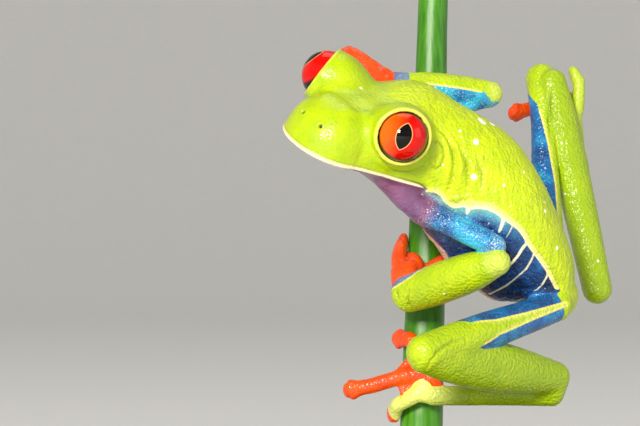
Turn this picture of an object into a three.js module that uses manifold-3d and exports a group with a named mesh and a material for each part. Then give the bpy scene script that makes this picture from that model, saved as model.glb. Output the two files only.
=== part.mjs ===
// Red-eyed tree frog (Agalychnis callidryas), an adult male at life size, clinging to a cut
// length of plant stem that stands on a plain display base. Millimetres, +Z up. The origin
// is the centre of the base's underside. +X is the side of the frog's back, -Y its left.
// The body is modelled whole and parted by thin cuts at its joints.
import * as THREE from "three";
import { mergeVertices } from "three/addons/utils/BufferGeometryUtils.js";
import Module from "manifold-3d";

const wasm = await Module();
wasm.setup();

// ---------------------------------------------------------------- driving dimensions
const GAP = 0.16; // clear cut between two neighbouring parts
const EYE_RADIUS = 2.65;
const EYE_OPENING = 0.6; // from the eye's centre out to the plane of the lids
const EYE_SPREAD = 6.35; // from the head's midline to an eye's centre
const HUMP_RADIUS = 3.05; // the swelling of the head over each eye
const TEMPLE_RADIUS = 2.0; // the smaller swelling behind it
const TYMPANUM_RADIUS = 1.45;
const WEB_THICKNESS = 0.6;
const STEM_FOOT = 13; // height of the stem's lower cut
const STEM_HEAD = 69; // height of its upper cut
const ROD_RADIUS = 1.1;
const BASE_RADIUS = 27;
const BASE_HEIGHT = 4;

const GREEN = 0xa8cc08;
const LEG_GREEN = 0x86aa10;
const BLUE = 0x1c6aa8;
const ORANGE = 0xf04a10;
const RED = 0xd81408;
const CREAM = 0xe8dcb8;

// The head's own frame: origin midway between the eyes, x to the snout, y left, z up.
const HEAD_AT = [-11.56, -13.0, 53.1];
const HEAD_FORWARD = [-0.715, -0.699, -0.003];
const HEAD_LEFT = [0.601, -0.614, -0.512];

// Joints of the skeleton. L is the frog's left, the side at -Y. Where two bones lie folded
// together, the second starts a little beside the end of the first: ulna, calf and tarsus.
const JOINT = {
  shoulderL: [-5.2, -11.2, 42.1],
  elbowL: [2.0, -12.2, 38.6],
  ulnaL: [2.2, -12.7, 36.9],
  wristL: [-6.9, -5.4, 33.3],
  shoulderR: [-5.5, -3.3, 51.2],
  elbowR: [1.9, -0.6, 54.35],
  ulnaR: [2.2, -0.6, 54.8],
  wristR: [-7.4, -2.0, 55.5],
  hipL: [8.8, -6.6, 32.1],
  kneeL: [-5.6, -19.4, 27.9],
  calfL: [-5.6, -19.4, 27.7],
  heelL: [8.75, -4.8, 24.6],
  tarsusL: [8.5, -4.4, 22.9],
  ankleL: [-4.0, -4.7, 22.6],
  hipR: [8.6, 2.6, 37.5],
  kneeR: [8.6, 11.6, 56.9],
  calfR: [9.7, 10.4, 56.5],
  heelR: [14.4, 7.5, 33.6],
  tarsusR: [14.4, 9.9, 34.4],
  ankleR: [12.9, 12.3, 48.0],
};

// ---------------------------------------------------------------- curves and lofts
const v3 = (a) => new THREE.Vector3(...a);

// Smooth rows: a Catmull-Rom curve through rows of any length, `steps` samples a span.
function smoothRows(rows, steps) {
  const last = rows.length - 1;
  const at = (i) => {
    if (i < 0) return rows[0].map((c, k) => 2 * c - rows[1][k]);
    if (i > last) return rows[last].map((c, k) => 2 * c - rows[last - 1][k]);
    return rows[i];
  };
  const out = [];
  for (let i = 0; i < last; i++) {
    const [before, from, to, after] = [at(i - 1), at(i), at(i + 1), at(i + 2)];
    for (let s = 0; s < steps; s++) {
      const t = s / steps;
      const value = (start, k) => {
        const slopeIn = (to[k] - before[k]) / 2;
        const slopeOut = (after[k] - start) / 2;
        const rise = to[k] - start;
        const bend = 3 * rise - 2 * slopeIn - slopeOut;
        const twist = slopeIn + slopeOut - 2 * rise;
        return start + slopeIn * t + bend * t * t + twist * t * t * t;
      };
      out.push(from.map(value));
    }
  }
  out.push([...rows[last]]);
  return out;
}

// A closed mesh from rings of equal length between two end points.
function skinRings(rings, first, last) {
  const n = rings[0].length;
  const points = [first, ...rings.flat(), last];
  const index = [];
  for (let j = 0; j < n; j++) {
    const k = (j + 1) % n;
    index.push(0, 1 + k, 1 + j);
    for (let i = 0; i < rings.length - 1; i++) {
      const a = 1 + i * n;
      index.push(a + j, a + k, a + n + k, a + j, a + n + k, a + n + j);
    }
    const z = 1 + (rings.length - 1) * n;
    index.push(z + j, z + k, points.length - 1);
  }
  const geometry = new THREE.BufferGeometry().setFromPoints(points);
  geometry.setIndex(index);
  return geometry;
}

// A round-ended tube of egg-shaped sections. Rows are [x, y, z, w, h, g]: a point of the
// spine, the half width, and the half heights above and below it. `side` is the direction
// of the half width, turned evenly into `sideEnd`. `square` over 2 boxes the section.
// `grow` swells the tube for a clearance cut.
function loft(rows, shape, grow = 0) {
  const { side, sideEnd = side, sides = 10, steps = 2, square = 2, capSteps = 2 } = shape;
  const line = smoothRows(rows, steps);
  const last = line.length - 1;
  const spine = line.map((row) => v3(row));
  const boxed = (c) => Math.sign(c) * Math.abs(c) ** (2 / square);
  const rings = [];
  const tips = [];
  line.forEach((row, i) => {
    const [w, h, g] = row.slice(3).map((r) => r + grow);
    const tangent = spine[Math.min(i + 1, last)].clone().sub(spine[Math.max(i - 1, 0)]);
    tangent.normalize();
    const across = side.clone().lerp(sideEnd, i / last);
    across.addScaledVector(tangent, -across.dot(tangent)).normalize();
    const up = tangent.clone().cross(across);
    const cap = Math.min(w, (h + g) / 2);
    // A ring at an angle round the end cap: 0 is the full section, 90 degrees the tip.
    const ring = (sign, angle) => {
      const centre = spine[i].clone().addScaledVector(tangent, sign * cap * Math.sin(angle));
      const points = [];
      for (let j = 0; j < sides; j++) {
        const turn = (2 * Math.PI * j) / sides;
        const x = boxed(Math.cos(turn)) * w * Math.cos(angle);
        const tall = Math.sin(turn) > 0 ? h : g;
        const y = boxed(Math.sin(turn)) * tall * Math.cos(angle);
        points.push(centre.clone().addScaledVector(across, x).addScaledVector(up, y));
      }
      return points;
    };
    const quarter = (k) => ((k / (capSteps + 1)) * Math.PI) / 2;
    if (i === 0) {
      tips.push(spine[i].clone().addScaledVector(tangent, -cap));
      for (let k = capSteps; k > 0; k--) rings.push(ring(-1, quarter(k)));
    }
    rings.push(ring(0, 0));
    if (i === last) {
      for (let k = 1; k <= capSteps; k++) rings.push(ring(1, quarter(k)));
      tips.push(spine[i].clone().addScaledVector(tangent, cap));
    }
  });
  return solid(skinRings(rings, tips[0], tips[1]));
}

// ---------------------------------------------------------------- solids
function solid(geometry) {
  const bare = geometry.clone();
  for (const name of Object.keys(bare.attributes)) {
    if (name !== "position") bare.deleteAttribute(name);
  }
  const merged = mergeVertices(bare, 1e-5);
  const mesh = new wasm.Mesh({
    numProp: 3,
    vertProperties: merged.attributes.position.array,
    triVerts: new Uint32Array(merged.index.array),
  });
  return new wasm.Manifold(mesh);
}

// The largest body of a solid, so that a cut leaves no crumbs.
const largest = (body) => body.decompose().sort((a, b) => b.volume() - a.volume())[0];

function geometryOf(body) {
  const mesh = largest(body).getMesh();
  const geometry = new THREE.BufferGeometry();
  geometry.setAttribute("position", new THREE.BufferAttribute(mesh.vertProperties, 3));
  geometry.setIndex(new THREE.BufferAttribute(mesh.triVerts, 1));
  const flat = geometry.toNonIndexed();
  flat.computeVertexNormals();
  return flat;
}

const joined = (bodies) => bodies.reduce((a, b) => a.add(b));
const without = (body, cuts) => cuts.reduce((a, b) => a.subtract(b), body);

function ball(centre, radius, detail) {
  const geometry = new THREE.SphereGeometry(radius, detail, detail / 2);
  return solid(geometry.translate(centre.x, centre.y, centre.z));
}

// A box that fills the space beyond a plane, out to `reach`.
function beyond(point, normal, reach = 80) {
  const box = new THREE.BoxGeometry(reach, reach, reach).translate(0, 0, reach / 2);
  const turn = new THREE.Quaternion().setFromUnitVectors(new THREE.Vector3(0, 0, 1), normal);
  return solid(box.applyQuaternion(turn).translate(point.x, point.y, point.z));
}

// ---------------------------------------------------------------- head
const headX = v3(HEAD_FORWARD).normalize();
const headZ = headX.clone().cross(v3(HEAD_LEFT)).normalize();
const headY = headZ.clone().cross(headX);
const headMatrix = new THREE.Matrix4().makeBasis(headX, headY, headZ).setPosition(...HEAD_AT);
const inHead = (x, y, z) => new THREE.Vector3(x, y, z).applyMatrix4(headMatrix);
const headWay = (x, y, z) => new THREE.Vector3(x, y, z).transformDirection(headMatrix);

// [x, height of the mouth line, half width, height above it, depth below it]
const HEAD_ROWS = [
  [-8.6, -4.8, 6.4, 6.7, 4.0],
  [-5.9, -5.1, 7.4, 6.5, 4.2],
  [-2.4, -5.1, 6.9, 6.3, 2.8],
  [1.2, -5.0, 5.7, 5.9, 2.0],
  [4.2, -4.8, 4.6, 5.1, 1.4],
  [5.4, -4.6, 4.0, 4.5, 1.3],
  [6.1, -4.4, 3.3, 3.8, 1.3],
];
const JAW_INSET = 0.35; // the lower jaw's edge lies this far inside the upper lip
const EYE_SIDES = { left: 1, right: -1 };

const eyeAt = (s) => inHead(0, s * EYE_SPREAD, 0);
const lidWay = (s) => headWay(0.55, s * 0.8, 0.24);
const eyeBall = (s, grow) => ball(eyeAt(s), EYE_RADIUS + grow, 12);

function headLoft(grow) {
  const rows = HEAD_ROWS.map(([x, z, w, h, g]) => [...inHead(x, 0, z), w, h, g]);
  return loft(rows, { side: headY, sides: 14, square: 2.3 }, grow);
}

function skullBody(grow) {
  const humps = Object.values(EYE_SIDES).map((s) => {
    const hump = ball(inHead(0, s * (EYE_SPREAD - 0.8), -0.1), HUMP_RADIUS + grow, 10);
    const temple = ball(inHead(-2.6, s * 4.6, -0.6), TEMPLE_RADIUS + grow, 8);
    const lids = eyeAt(s).addScaledVector(lidWay(s), EYE_OPENING + grow);
    return hump.subtract(beyond(lids, lidWay(s))).add(temple);
  });
  return joined([headLoft(grow), ...humps]);
}

// The slab under the mouth line, which the lower jaw and the throat fill.
function underMouth(shift) {
  const corner = [-6.4, -5.5];
  const line = [[0, -4.95], [4, -4.8], [12, -4.7]];
  const bottom = -14;
  const halfWidth = 12;
  const shape = new THREE.Shape();
  shape.moveTo(corner[0], bottom);
  for (const [x, z] of [corner, ...line]) shape.lineTo(x, z + shift);
  shape.lineTo(line[2][0], bottom);
  const slab = new THREE.ExtrudeGeometry(shape, { depth: 2 * halfWidth, bevelEnabled: false });
  slab.translate(0, 0, -halfWidth).rotateX(Math.PI / 2);
  return solid(slab.applyMatrix4(headMatrix));
}

// A short cylinder through the skin behind each eye, for the ear drum.
function earPlug(s, grow) {
  const depth = 1.4;
  const plug = new THREE.CylinderGeometry(
    TYMPANUM_RADIUS + grow,
    TYMPANUM_RADIUS + grow,
    2 * (depth + grow),
    12,
  );
  const way = headWay(-0.1, s, 0.12);
  plug.applyQuaternion(new THREE.Quaternion().setFromUnitVectors(new THREE.Vector3(0, 1, 0), way));
  const at = inHead(-5.6, s * 7.3, -1.7);
  return solid(plug.translate(at.x, at.y, at.z));
}

// ---------------------------------------------------------------- trunk
// [x, y, z, half width, half height to the back, half height to the belly]
const TRUNK_ROWS = [
  [-7.0, -8.4, 50.4, 5.6, 5.4, 4.4],
  [-1.2, -7.0, 46.2, 5.8, 6.2, 6.9],
  [1.4, -6.2, 43.8, 6.2, 6.0, 7.5],
  [3.9, -5.5, 41.2, 6.2, 5.1, 7.9],
  [7.5, -4.2, 36.6, 4.8, 3.4, 6.6],
  [9.1, -3.4, 33.7, 3.2, 2.1, 3.4],
];
const CHEST_RIGHT = [-0.4, 0.8, 0.44]; // the way the half width points, chest and rump
const RUMP_RIGHT = [-0.1, 0.95, 0.3];
const LOIN = [6.4, -4.6, 38.2]; // where the trunk and the rump part
const LOIN_WAY = [0.64, 0.2, -0.74];

function trunkBody(grow) {
  const shape = { side: v3(CHEST_RIGHT), sideEnd: v3(RUMP_RIGHT), sides: 14, capSteps: 1 };
  return loft(TRUNK_ROWS, shape, grow);
}

// ---------------------------------------------------------------- limbs
// Profiles along a bone: [share of its length, half width, half height]
const PROFILE = {
  upper_arm_left: [[0, 1.3, 1.3], [0.35, 1.2, 1.2], [0.75, 1.25, 1.25], [1, 1.15, 1.15]],
  upper_arm_right: [[0, 1.3, 1.3], [0.35, 1.0, 1.0], [0.75, 0.8, 0.8], [1, 1.05, 1.05]],
  forearm_left: [[0, 1.4, 1.4], [0.3, 1.9, 2.1], [0.7, 1.9, 2.2], [1, 1.6, 1.9]],
  forearm_right: [[0, 1.3, 1.35], [0.3, 1.7, 1.7], [0.7, 1.7, 1.8], [1, 1.4, 1.5]],
  thigh_left: [[0, 1.6, 1.5], [0.3, 1.8, 1.8], [0.6, 1.9, 2.0], [1, 1.8, 1.9]],
  thigh_right: [[0, 1.9, 1.9], [0.4, 1.5, 1.6], [0.75, 1.35, 1.4], [1, 1.75, 1.75]],
  shank_left: [[0, 1.5, 1.9], [0.25, 1.9, 2.5], [0.6, 1.9, 2.6], [1, 1.6, 1.7]],
  shank_right: [[0, 1.5, 1.6], [0.2, 1.75, 2.1], [0.6, 1.75, 2.1], [1, 1.6, 1.7]],
  tarsus_left: [[0, 1.3, 1.4], [0.4, 1.1, 1.2], [1, 1.0, 1.0]],
  tarsus_right: [[0, 1.3, 1.4], [0.4, 1.0, 1.1], [1, 0.9, 0.9]],
};

function bone(from, to, profile, side, grow) {
  const a = v3(JOINT[from]);
  const b = v3(JOINT[to]);
  const rows = profile.map(([t, w, h]) => [...a.clone().lerp(b, t), w, h, h]);
  return loft(rows, { side, sides: 8, steps: 1, capSteps: 1 }, grow);
}

// The normal of the plane in which a limb folds.
function foldNormal(a, b, c) {
  const first = v3(JOINT[b]).sub(v3(JOINT[a]));
  const second = v3(JOINT[c]).sub(v3(JOINT[b]));
  return first.cross(second).normalize();
}

// ---------------------------------------------------------------- perch
// [x, y, z, radius] up the stem, which leans away from the frog.
const STEM_ROWS = [
  [-5.45, -1.4, STEM_FOOT, 2.35],
  [-5.2, -1.0, 20.6, 2.3],
  [-4.6, 1.0, 38.0, 2.05],
  [-3.9, 4.0, 61.4, 1.65],
  [-3.65, 5.1, STEM_HEAD, 1.6],
];

function stem(grow) {
  const rows = STEM_ROWS.map(([x, y, z, r]) => [x, y, z, r, r, r]);
  const whole = loft(rows, { side: v3([1, 0, 0]), sides: 12, steps: 1, capSteps: 0 }, grow);
  const down = new THREE.Vector3(0, 0, -1);
  const foot = v3(STEM_ROWS[0]).setZ(STEM_FOOT - grow);
  const head = v3(STEM_ROWS[4]).setZ(STEM_HEAD + grow);
  return without(whole, [beyond(foot, down), beyond(head, down.clone().negate())]);
}

// A point beside the stem: its height, its bearing in degrees (0 is +X, -90 the camera's
// side, -Y) and its distance out from the bark.
function byStem(height, degrees, lift) {
  const i = Math.max(0, STEM_ROWS.findIndex((row) => row[2] > height) - 1);
  const [low, high] = [STEM_ROWS[i], STEM_ROWS[i + 1]];
  const t = (height - low[2]) / (high[2] - low[2]);
  const [x, y, , r] = low.map((c, k) => c + (high[k] - c) * t);
  const angle = THREE.MathUtils.degToRad(degrees);
  return [x + (r + lift) * Math.cos(angle), y + (r + lift) * Math.sin(angle), height];
}

// ---------------------------------------------------------------- hands and feet
// Each digit runs root to tip, the innermost first. `palm` is the palm's or sole's own line,
// `size` its half width and half thickness, and `inward` points from the back of the hand or
// foot to its gripping side.
const HANDS_AND_FEET = {
  hand_left: {
    palm: [[-7.0, -4.8, 33.9], [-7.2, -4.0, 35.0], [-7.2, -3.4, 35.9]],
    inward: [0.55, 0.8, 0.1],
    size: [1.6, 0.9],
    digit: "finger",
    digits: [
      [[-6.2, -3.9, 35.1], byStem(35.7, -92, 0.8), byStem(36.6, -56, 0.7), byStem(37.3, -24, 0.65)],
      [[-6.8, -3.9, 34.9], byStem(35.9, -124, 1.5), byStem(36.9, -127, 0.85)],
      [[-7.5, -3.3, 35.6], [-7.7, -2.2, 37.1], [-7.5, -0.9, 38.0], byStem(38.8, 190, 0.65)],
      [[-7.3, -3.0, 35.4], [-7.7, -0.9, 35.5], byStem(36.1, 166, 0.75), byStem(36.9, 132, 0.7)],
    ],
  },
  hand_right: {
    palm: [[-7.6, -2.0, 55.5], [-8.8, -2.3, 55.9], [-9.6, -2.4, 56.4]],
    inward: [0.2, 0.9, -0.4],
    size: [1.35, 0.8],
    digit: "finger",
    digits: [
      [[-9.1, -2.9, 55.8], [-10.2, -3.3, 55.5], [-11.2, -2.8, 55.4]],
      [[-10.0, -2.8, 56.4], [-11.4, -3.0, 57.0], [-12.9, -2.4, 57.6], [-14.0, -1.1, 57.7]],
      [[-10.0, -2.2, 56.7], [-11.3, -1.9, 58.0], [-12.6, -1.0, 58.9], [-13.4, 0.6, 59.1]],
      [[-9.5, -1.6, 56.5], [-10.4, -0.7, 57.5], [-11.2, 0.8, 58.0], [-11.8, 2.4, 57.8]],
    ],
  },
  foot_left: {
    palm: [[-4.3, -4.6, 22.9], [-4.9, -4.15, 24.0], [-5.1, -4.0, 25.0]],
    inward: [0, 1, 0],
    size: [1.5, 0.8],
    digit: "toe",
    digits: [
      [[-4.2, -4.0, 24.9], byStem(25.1, -58, 0.85), byStem(25.3, -12, 0.75), byStem(25.4, 30, 0.65)],
      [[-4.4, -4.0, 25.4], byStem(26.5, -62, 0.85), byStem(27.5, -20, 0.75), byStem(28.2, 18, 0.65)],
      [[-5.1, -4.1, 25.4], byStem(27.2, -100, 1.1), byStem(28.5, -120, 0.95), byStem(28.5, 204, 0.75)],
      [[-5.7, -4.0, 24.9], [-7.8, -4.2, 24.5], [-10.4, -3.7, 23.7], [-12.7, -3.2, 23.2]],
      [[-5.0, -4.3, 23.5], [-6.1, -4.6, 22.6], byStem(21.7, -132, 1.5), byStem(20.6, -159, 1.0)],
    ],
  },
  foot_right: {
    palm: [[12.8, 12.4, 49.0], [12.6, 12.7, 51.4], [12.4, 12.9, 53.4]],
    inward: [-1, 0.15, 0.1],
    size: [1.2, 0.7],
    digit: "toe",
    digits: [
      [[12.1, 14.0, 52.6], [11.4, 15.2, 53.4], [10.2, 15.6, 53.4]],
      [[12.1, 13.9, 53.2], [11.3, 15.0, 54.6], [9.9, 15.4, 55.0], [8.6, 15.0, 54.6]],
      [[12.1, 13.6, 53.6], [11.3, 14.4, 55.4], [9.8, 14.9, 56.4], [8.2, 14.6, 56.4]],
      [[12.1, 13.2, 53.2], [11.0, 13.7, 54.5], [8.4, 13.3, 53.9], [5.7, 11.4, 53.2]],
      [[12.6, 12.6, 53.6], [12.8, 12.4, 55.2], [12.8, 12.6, 56.6], [12.4, 13.2, 57.5]],
    ],
  },
};
const DIGIT = {
  finger: { root: 1.0, waist: 0.88, pad: 1.15, web: 0.42 },
  toe: { root: 0.95, waist: 0.82, pad: 1.1, web: 0.42 },
};

const DIGIT_DEPTH = 0.85; // how deep a digit is against its width

// One digit: a slim round shaft that ends in a flat, round climbing pad.
function digitBody(points, { root, waist, pad }, inward, grow) {
  const padLength = 0.75 * pad;
  const flat = 0.6;
  const [joint, end] = points.slice(-2).map(v3);
  const neck = end.clone().lerp(joint, padLength / end.distanceTo(joint));
  const shaft = [...points.slice(0, -1).map(v3), neck];
  const rows = shaft.map((p, i) => {
    const r = i === 0 ? root : waist;
    const deep = DIGIT_DEPTH * r;
    return [...p, r, deep, deep];
  });
  rows.push([...end, pad, flat, flat]);
  const way = (i) => shaft[i + 1].clone().sub(shaft[i]).normalize();
  const side = way(0).cross(inward);
  const sideEnd = way(shaft.length - 2).cross(padWay(points, inward));
  return loft(rows, { side, sideEnd, sides: 6, capSteps: 1 }, grow);
}

// The way a pad presses: to the stem's middle where it is near, or else inward.
function padWay(points, inward) {
  const [x, y, z] = points[points.length - 1];
  const [low, high] = [byStem(z, 0, 0), byStem(z, 180, 0)];
  const toStem = new THREE.Vector3((low[0] + high[0]) / 2 - x, (low[1] + high[1]) / 2 - y, 0);
  const reach = 4;
  return toStem.length() < reach ? toStem.normalize() : inward;
}

// A thin three-cornered sheet of skin between two digits.
function webBody(corner, left, right) {
  const normal = left.clone().sub(corner).cross(right.clone().sub(corner)).normalize();
  const offset = normal.multiplyScalar(WEB_THICKNESS / 2);
  const low = [corner, left, right].map((p) => p.clone().sub(offset));
  const high = [corner, left, right].map((p) => p.clone().add(offset));
  const geometry = new THREE.BufferGeometry().setFromPoints([...low, ...high]);
  const walls = [0, 1, 2].flatMap((i) => {
    const j = (i + 1) % 3;
    return [i, j, j + 3, i, j + 3, i + 3];
  });
  geometry.setIndex([0, 2, 1, 3, 4, 5, ...walls]);
  return solid(geometry);
}

// The palm or sole, without its webs.
function palmBody({ palm, inward, size }, grow) {
  const [halfWidth, halfThickness] = size;
  const rows = palm.map((p) => [...p, halfWidth, halfThickness, halfThickness]);
  const along = v3(palm[2]).sub(v3(palm[0]));
  return loft(rows, { side: along.cross(v3(inward)), sides: 8, capSteps: 1 }, grow);
}

function webBodies({ palm, digit, digits }) {
  const share = DIGIT[digit].web;
  const edge = (points) => {
    const reach = share * (points.length - 1);
    const i = Math.floor(reach);
    return v3(points[i]).lerp(v3(points[i + 1]), reach - i);
  };
  return digits.slice(1).map((points, i) => {
    const [from, to] = [edge(digits[i]), edge(points)];
    const inset = DIGIT[digit].waist / from.distanceTo(to);
    return webBody(v3(palm[1]), from.clone().lerp(to, inset), to.clone().lerp(from, inset));
  });
}

// ---------------------------------------------------------------- the parts
const parts = new Map();
const put = (name, body, colour, roughness = 0.5) => parts.set(name, { body, colour, roughness });

const skull = without(skullBody(0), Object.values(EYE_SIDES).map((s) => eyeBall(s, GAP)));
const ears = Object.values(EYE_SIDES).map((s) => earPlug(s, GAP));
put("head", without(skull, [underMouth(GAP / 2), ...ears]), GREEN);
put("lower_jaw", skull.intersect(underMouth(-GAP / 2)).intersect(headLoft(-JAW_INSET)), CREAM);
for (const [name, s] of Object.entries(EYE_SIDES)) {
  put("eye_" + name, eyeBall(s, 0), RED, 0.1);
  put("tympanum_" + name, earPlug(s, 0).intersect(skull), GREEN);
}

const torso = without(trunkBody(0), [skullBody(GAP), stem(GAP)]);
const loin = (shift) => v3(LOIN).addScaledVector(v3(LOIN_WAY).normalize(), shift);
const rumpSpace = (shift) => beyond(loin(shift), v3(LOIN_WAY).normalize());
put("trunk", torso.subtract(rumpSpace(-GAP / 2)), GREEN);
put("rump", torso.intersect(rumpSpace(GAP / 2)), GREEN);

const SIDES = { left: "L", right: "R" };
const bones = Object.entries(SIDES).flatMap(([side, key]) => {
  const arm = foldNormal("shoulder" + key, "elbow" + key, "wrist" + key);
  const leg = foldNormal("hip" + key, "knee" + key, "heel" + key);
  return [
    ["upper_arm_" + side, "shoulder", "elbow", arm, BLUE],
    ["forearm_" + side, "ulna", "wrist", arm, GREEN],
    ["thigh_" + side, "hip", "knee", leg, BLUE],
    ["shank_" + side, "calf", "heel", leg, LEG_GREEN],
    ["tarsus_" + side, "tarsus", "ankle", leg, LEG_GREEN],
  ].map(([name, from, to, ...rest]) => [name, from + key, to + key, ...rest]);
});

// Each part is cut back from the swollen shape of those before it.
const taken = [skullBody(GAP), trunkBody(GAP), stem(GAP)];
for (const [name, from, to, side, colour] of bones) {
  put(name, without(bone(from, to, PROFILE[name], side, 0), taken), colour);
  taken.push(bone(from, to, PROFILE[name], side, GAP));
}
for (const [name, shape] of Object.entries(HANDS_AND_FEET)) {
  const inward = v3(shape.inward).normalize();
  const side = name.split("_")[1];
  const size = DIGIT[shape.digit];
  const near = [...taken, palmBody(shape, GAP)];
  const swollen = [];
  shape.digits.forEach((points, i) => {
    const body = without(digitBody(points, size, inward, 0), [...near, ...swollen]);
    put(`${shape.digit}_${side}_${i + 1}`, body, ORANGE);
    swollen.push(digitBody(points, size, inward, GAP));
  });
  const webs = webBodies(shape).map((web) => without(web, swollen));
  put(name, without(joined([palmBody(shape, 0), ...webs]), taken), ORANGE);
}

put("perch_stem", stem(0), 0x3c8c10, 0.4);

const group = new THREE.Group();
for (const [name, { body, colour, roughness }] of parts) {
  const material = new THREE.MeshStandardMaterial({ color: colour, roughness, metalness: 0 });
  const mesh = new THREE.Mesh(geometryOf(body), material);
  mesh.name = name;
  group.add(mesh);
}

// ---------------------------------------------------------------- stand
function turned(name, radiusTop, radius, height, x, y, z, colour, sides) {
  const shape = new THREE.CylinderGeometry(radiusTop, radius, height, sides);
  shape.rotateX(Math.PI / 2);
  const material = new THREE.MeshStandardMaterial({ color: colour, roughness: 0.5 });
  const mesh = new THREE.Mesh(shape, material);
  mesh.name = name;
  mesh.position.set(x, y, z + height / 2);
  group.add(mesh);
}

const ROD_GAP = 0.1; // at each end of the rod, where it meets the base and the stem
const rodHeight = STEM_FOOT - BASE_HEIGHT - 2 * ROD_GAP;
const [rodX, rodY] = STEM_ROWS[0];
turned("stand_base", BASE_RADIUS - 0.6, BASE_RADIUS, BASE_HEIGHT, 0, 0, 0, 0x2a2724, 32);
turned("stand_rod", ROD_RADIUS, ROD_RADIUS, rodHeight, rodX, rodY, BASE_HEIGHT + ROD_GAP, 0xb8bcc0, 16);

export default group;
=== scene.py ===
"""A red-eyed tree frog (Agalychnis callidryas) at life size, clinging to a cut plant stem on
a display stand, dressed over its solid frame.

The skin is one mesh. The body is described as a distance, in millimetres, to a set of
round-ended lofts that melt into each other, and a net of quads is drawn where that distance
is zero. The markings are distances too, kept on the mesh in millimetres, and the skin's
material lays its colours where they are positive.
"""

import math

import bpy
import numpy as np
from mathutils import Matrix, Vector, noise


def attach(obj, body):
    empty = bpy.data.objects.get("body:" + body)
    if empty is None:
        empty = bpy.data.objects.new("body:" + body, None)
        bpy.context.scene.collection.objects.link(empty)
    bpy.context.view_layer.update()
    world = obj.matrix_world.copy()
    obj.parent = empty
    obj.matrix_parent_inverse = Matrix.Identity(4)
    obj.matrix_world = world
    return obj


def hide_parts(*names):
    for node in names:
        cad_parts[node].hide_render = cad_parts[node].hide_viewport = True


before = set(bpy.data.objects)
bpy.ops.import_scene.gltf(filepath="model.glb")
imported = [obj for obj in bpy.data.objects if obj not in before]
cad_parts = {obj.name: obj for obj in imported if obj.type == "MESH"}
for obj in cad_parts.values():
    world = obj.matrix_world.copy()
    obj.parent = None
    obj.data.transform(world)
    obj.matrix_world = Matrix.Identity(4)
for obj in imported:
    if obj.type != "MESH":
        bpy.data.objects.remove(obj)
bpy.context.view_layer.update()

MM = 0.001  # every size below is in millimetres, and meshes are made in metres


def unit(v):
    v = np.asarray(v, float)
    return v / np.linalg.norm(v, axis=-1, keepdims=True)


def smoothstep(low, high, x):
    t = np.clip((x - low) / (high - low), 0, 1)
    return t * t * (3 - 2 * t)


# ------------------------------------------------------------------------------- camera
IMAGE_WIDTH, IMAGE_HEIGHT = 640, 426
PIXELS_PER_MM = 9.3  # on the plane y = 0
CAMERA_AT = np.array([-16.1, -320.0, 42.0])
SENSOR = 36.0


def make_camera():
    data = bpy.data.cameras.new("camera")
    data.sensor_width = SENSOR
    data.lens = SENSOR * -CAMERA_AT[1] / (IMAGE_WIDTH / PIXELS_PER_MM)
    data.clip_start, data.clip_end = 0.01, 20
    camera = bpy.data.objects.new("camera", data)
    camera.location = CAMERA_AT * MM
    camera.rotation_euler = (math.radians(90), 0, 0)
    bpy.context.scene.collection.objects.link(camera)
    bpy.context.scene.camera = camera


def sight(pixels):
    """The directions from the camera through these pixels (u, v) of the image."""
    u, v = np.array(pixels, float).T
    across = (u - IMAGE_WIDTH / 2) / PIXELS_PER_MM
    up = (IMAGE_HEIGHT / 2 - v) / PIXELS_PER_MM
    return unit(np.stack([across, np.full(len(u), -CAMERA_AT[1]), up], 1))


make_camera()

# ------------------------------------------------------------- the frog's measurements
EYE_RADIUS = 2.65
EYE_OPENING = 0.6  # from the eye's centre out to the plane of the lids
EYE_SPREAD = 6.35  # from the head's midline to an eye's centre
HUMP_AT, HUMP_RADIUS = [-0.45, 5.55, -0.2], 3.25  # the swelling of the head over the left eye
TEMPLE_AT, TEMPLE_RADIUS = [-2.6, 4.6, -0.6], 2.0  # the smaller swelling behind it
STEM_FOOT = 13.0  # height of the stem's lower cut
STEM_HEAD = 69.0  # height of its upper cut

# The head's own frame: origin midway between the eyes, x to the snout, y left, z up.
HEAD_AT = np.array([-11.56, -13.0, 53.1])
HEAD_FORWARD = [-0.715, -0.699, -0.003]
HEAD_LEFT = [0.601, -0.614, -0.512]

JOINT = {
    "shoulderL": [-5.2, -11.2, 42.1],
    "elbowL": [2.0, -12.2, 38.6],
    "ulnaL": [2.2, -12.7, 36.9],
    "wristL": [-6.9, -5.4, 33.3],
    "shoulderR": [-5.5, -3.3, 51.2],
    "elbowR": [1.9, -0.6, 54.35],
    "ulnaR": [2.2, -0.6, 54.8],
    "wristR": [-7.4, -2.0, 55.5],
    "hipL": [8.8, -6.6, 32.1],
    "kneeL": [-5.6, -19.4, 27.9],
    "calfL": [-5.6, -19.4, 27.7],
    "heelL": [8.75, -4.8, 24.6],
    "tarsusL": [8.5, -4.4, 22.9],
    "ankleL": [-4.0, -4.7, 22.6],
    "hipR": [8.6, 2.6, 37.5],
    "kneeR": [8.6, 11.6, 56.9],
    "calfR": [9.7, 10.4, 56.5],
    "heelR": [14.4, 7.5, 33.6],
    "tarsusR": [14.4, 9.9, 34.4],
    "ankleR": [12.9, 12.3, 48.0],
}

# [x, height of the mouth line, half width, height above it, depth below it]
HEAD_ROWS = [
    [-8.6, -4.8, 6.4, 6.7, 4.0],
    [-5.9, -5.1, 7.4, 6.5, 4.2],
    [-2.4, -5.1, 6.9, 6.3, 2.8],
    [0.9, -5.0, 5.8, 5.9, 2.0],
    [3.2, -4.8, 4.9, 5.3, 1.5],
]

SNOUT_LENGTH = 4.5  # of the round end past the last row

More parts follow.
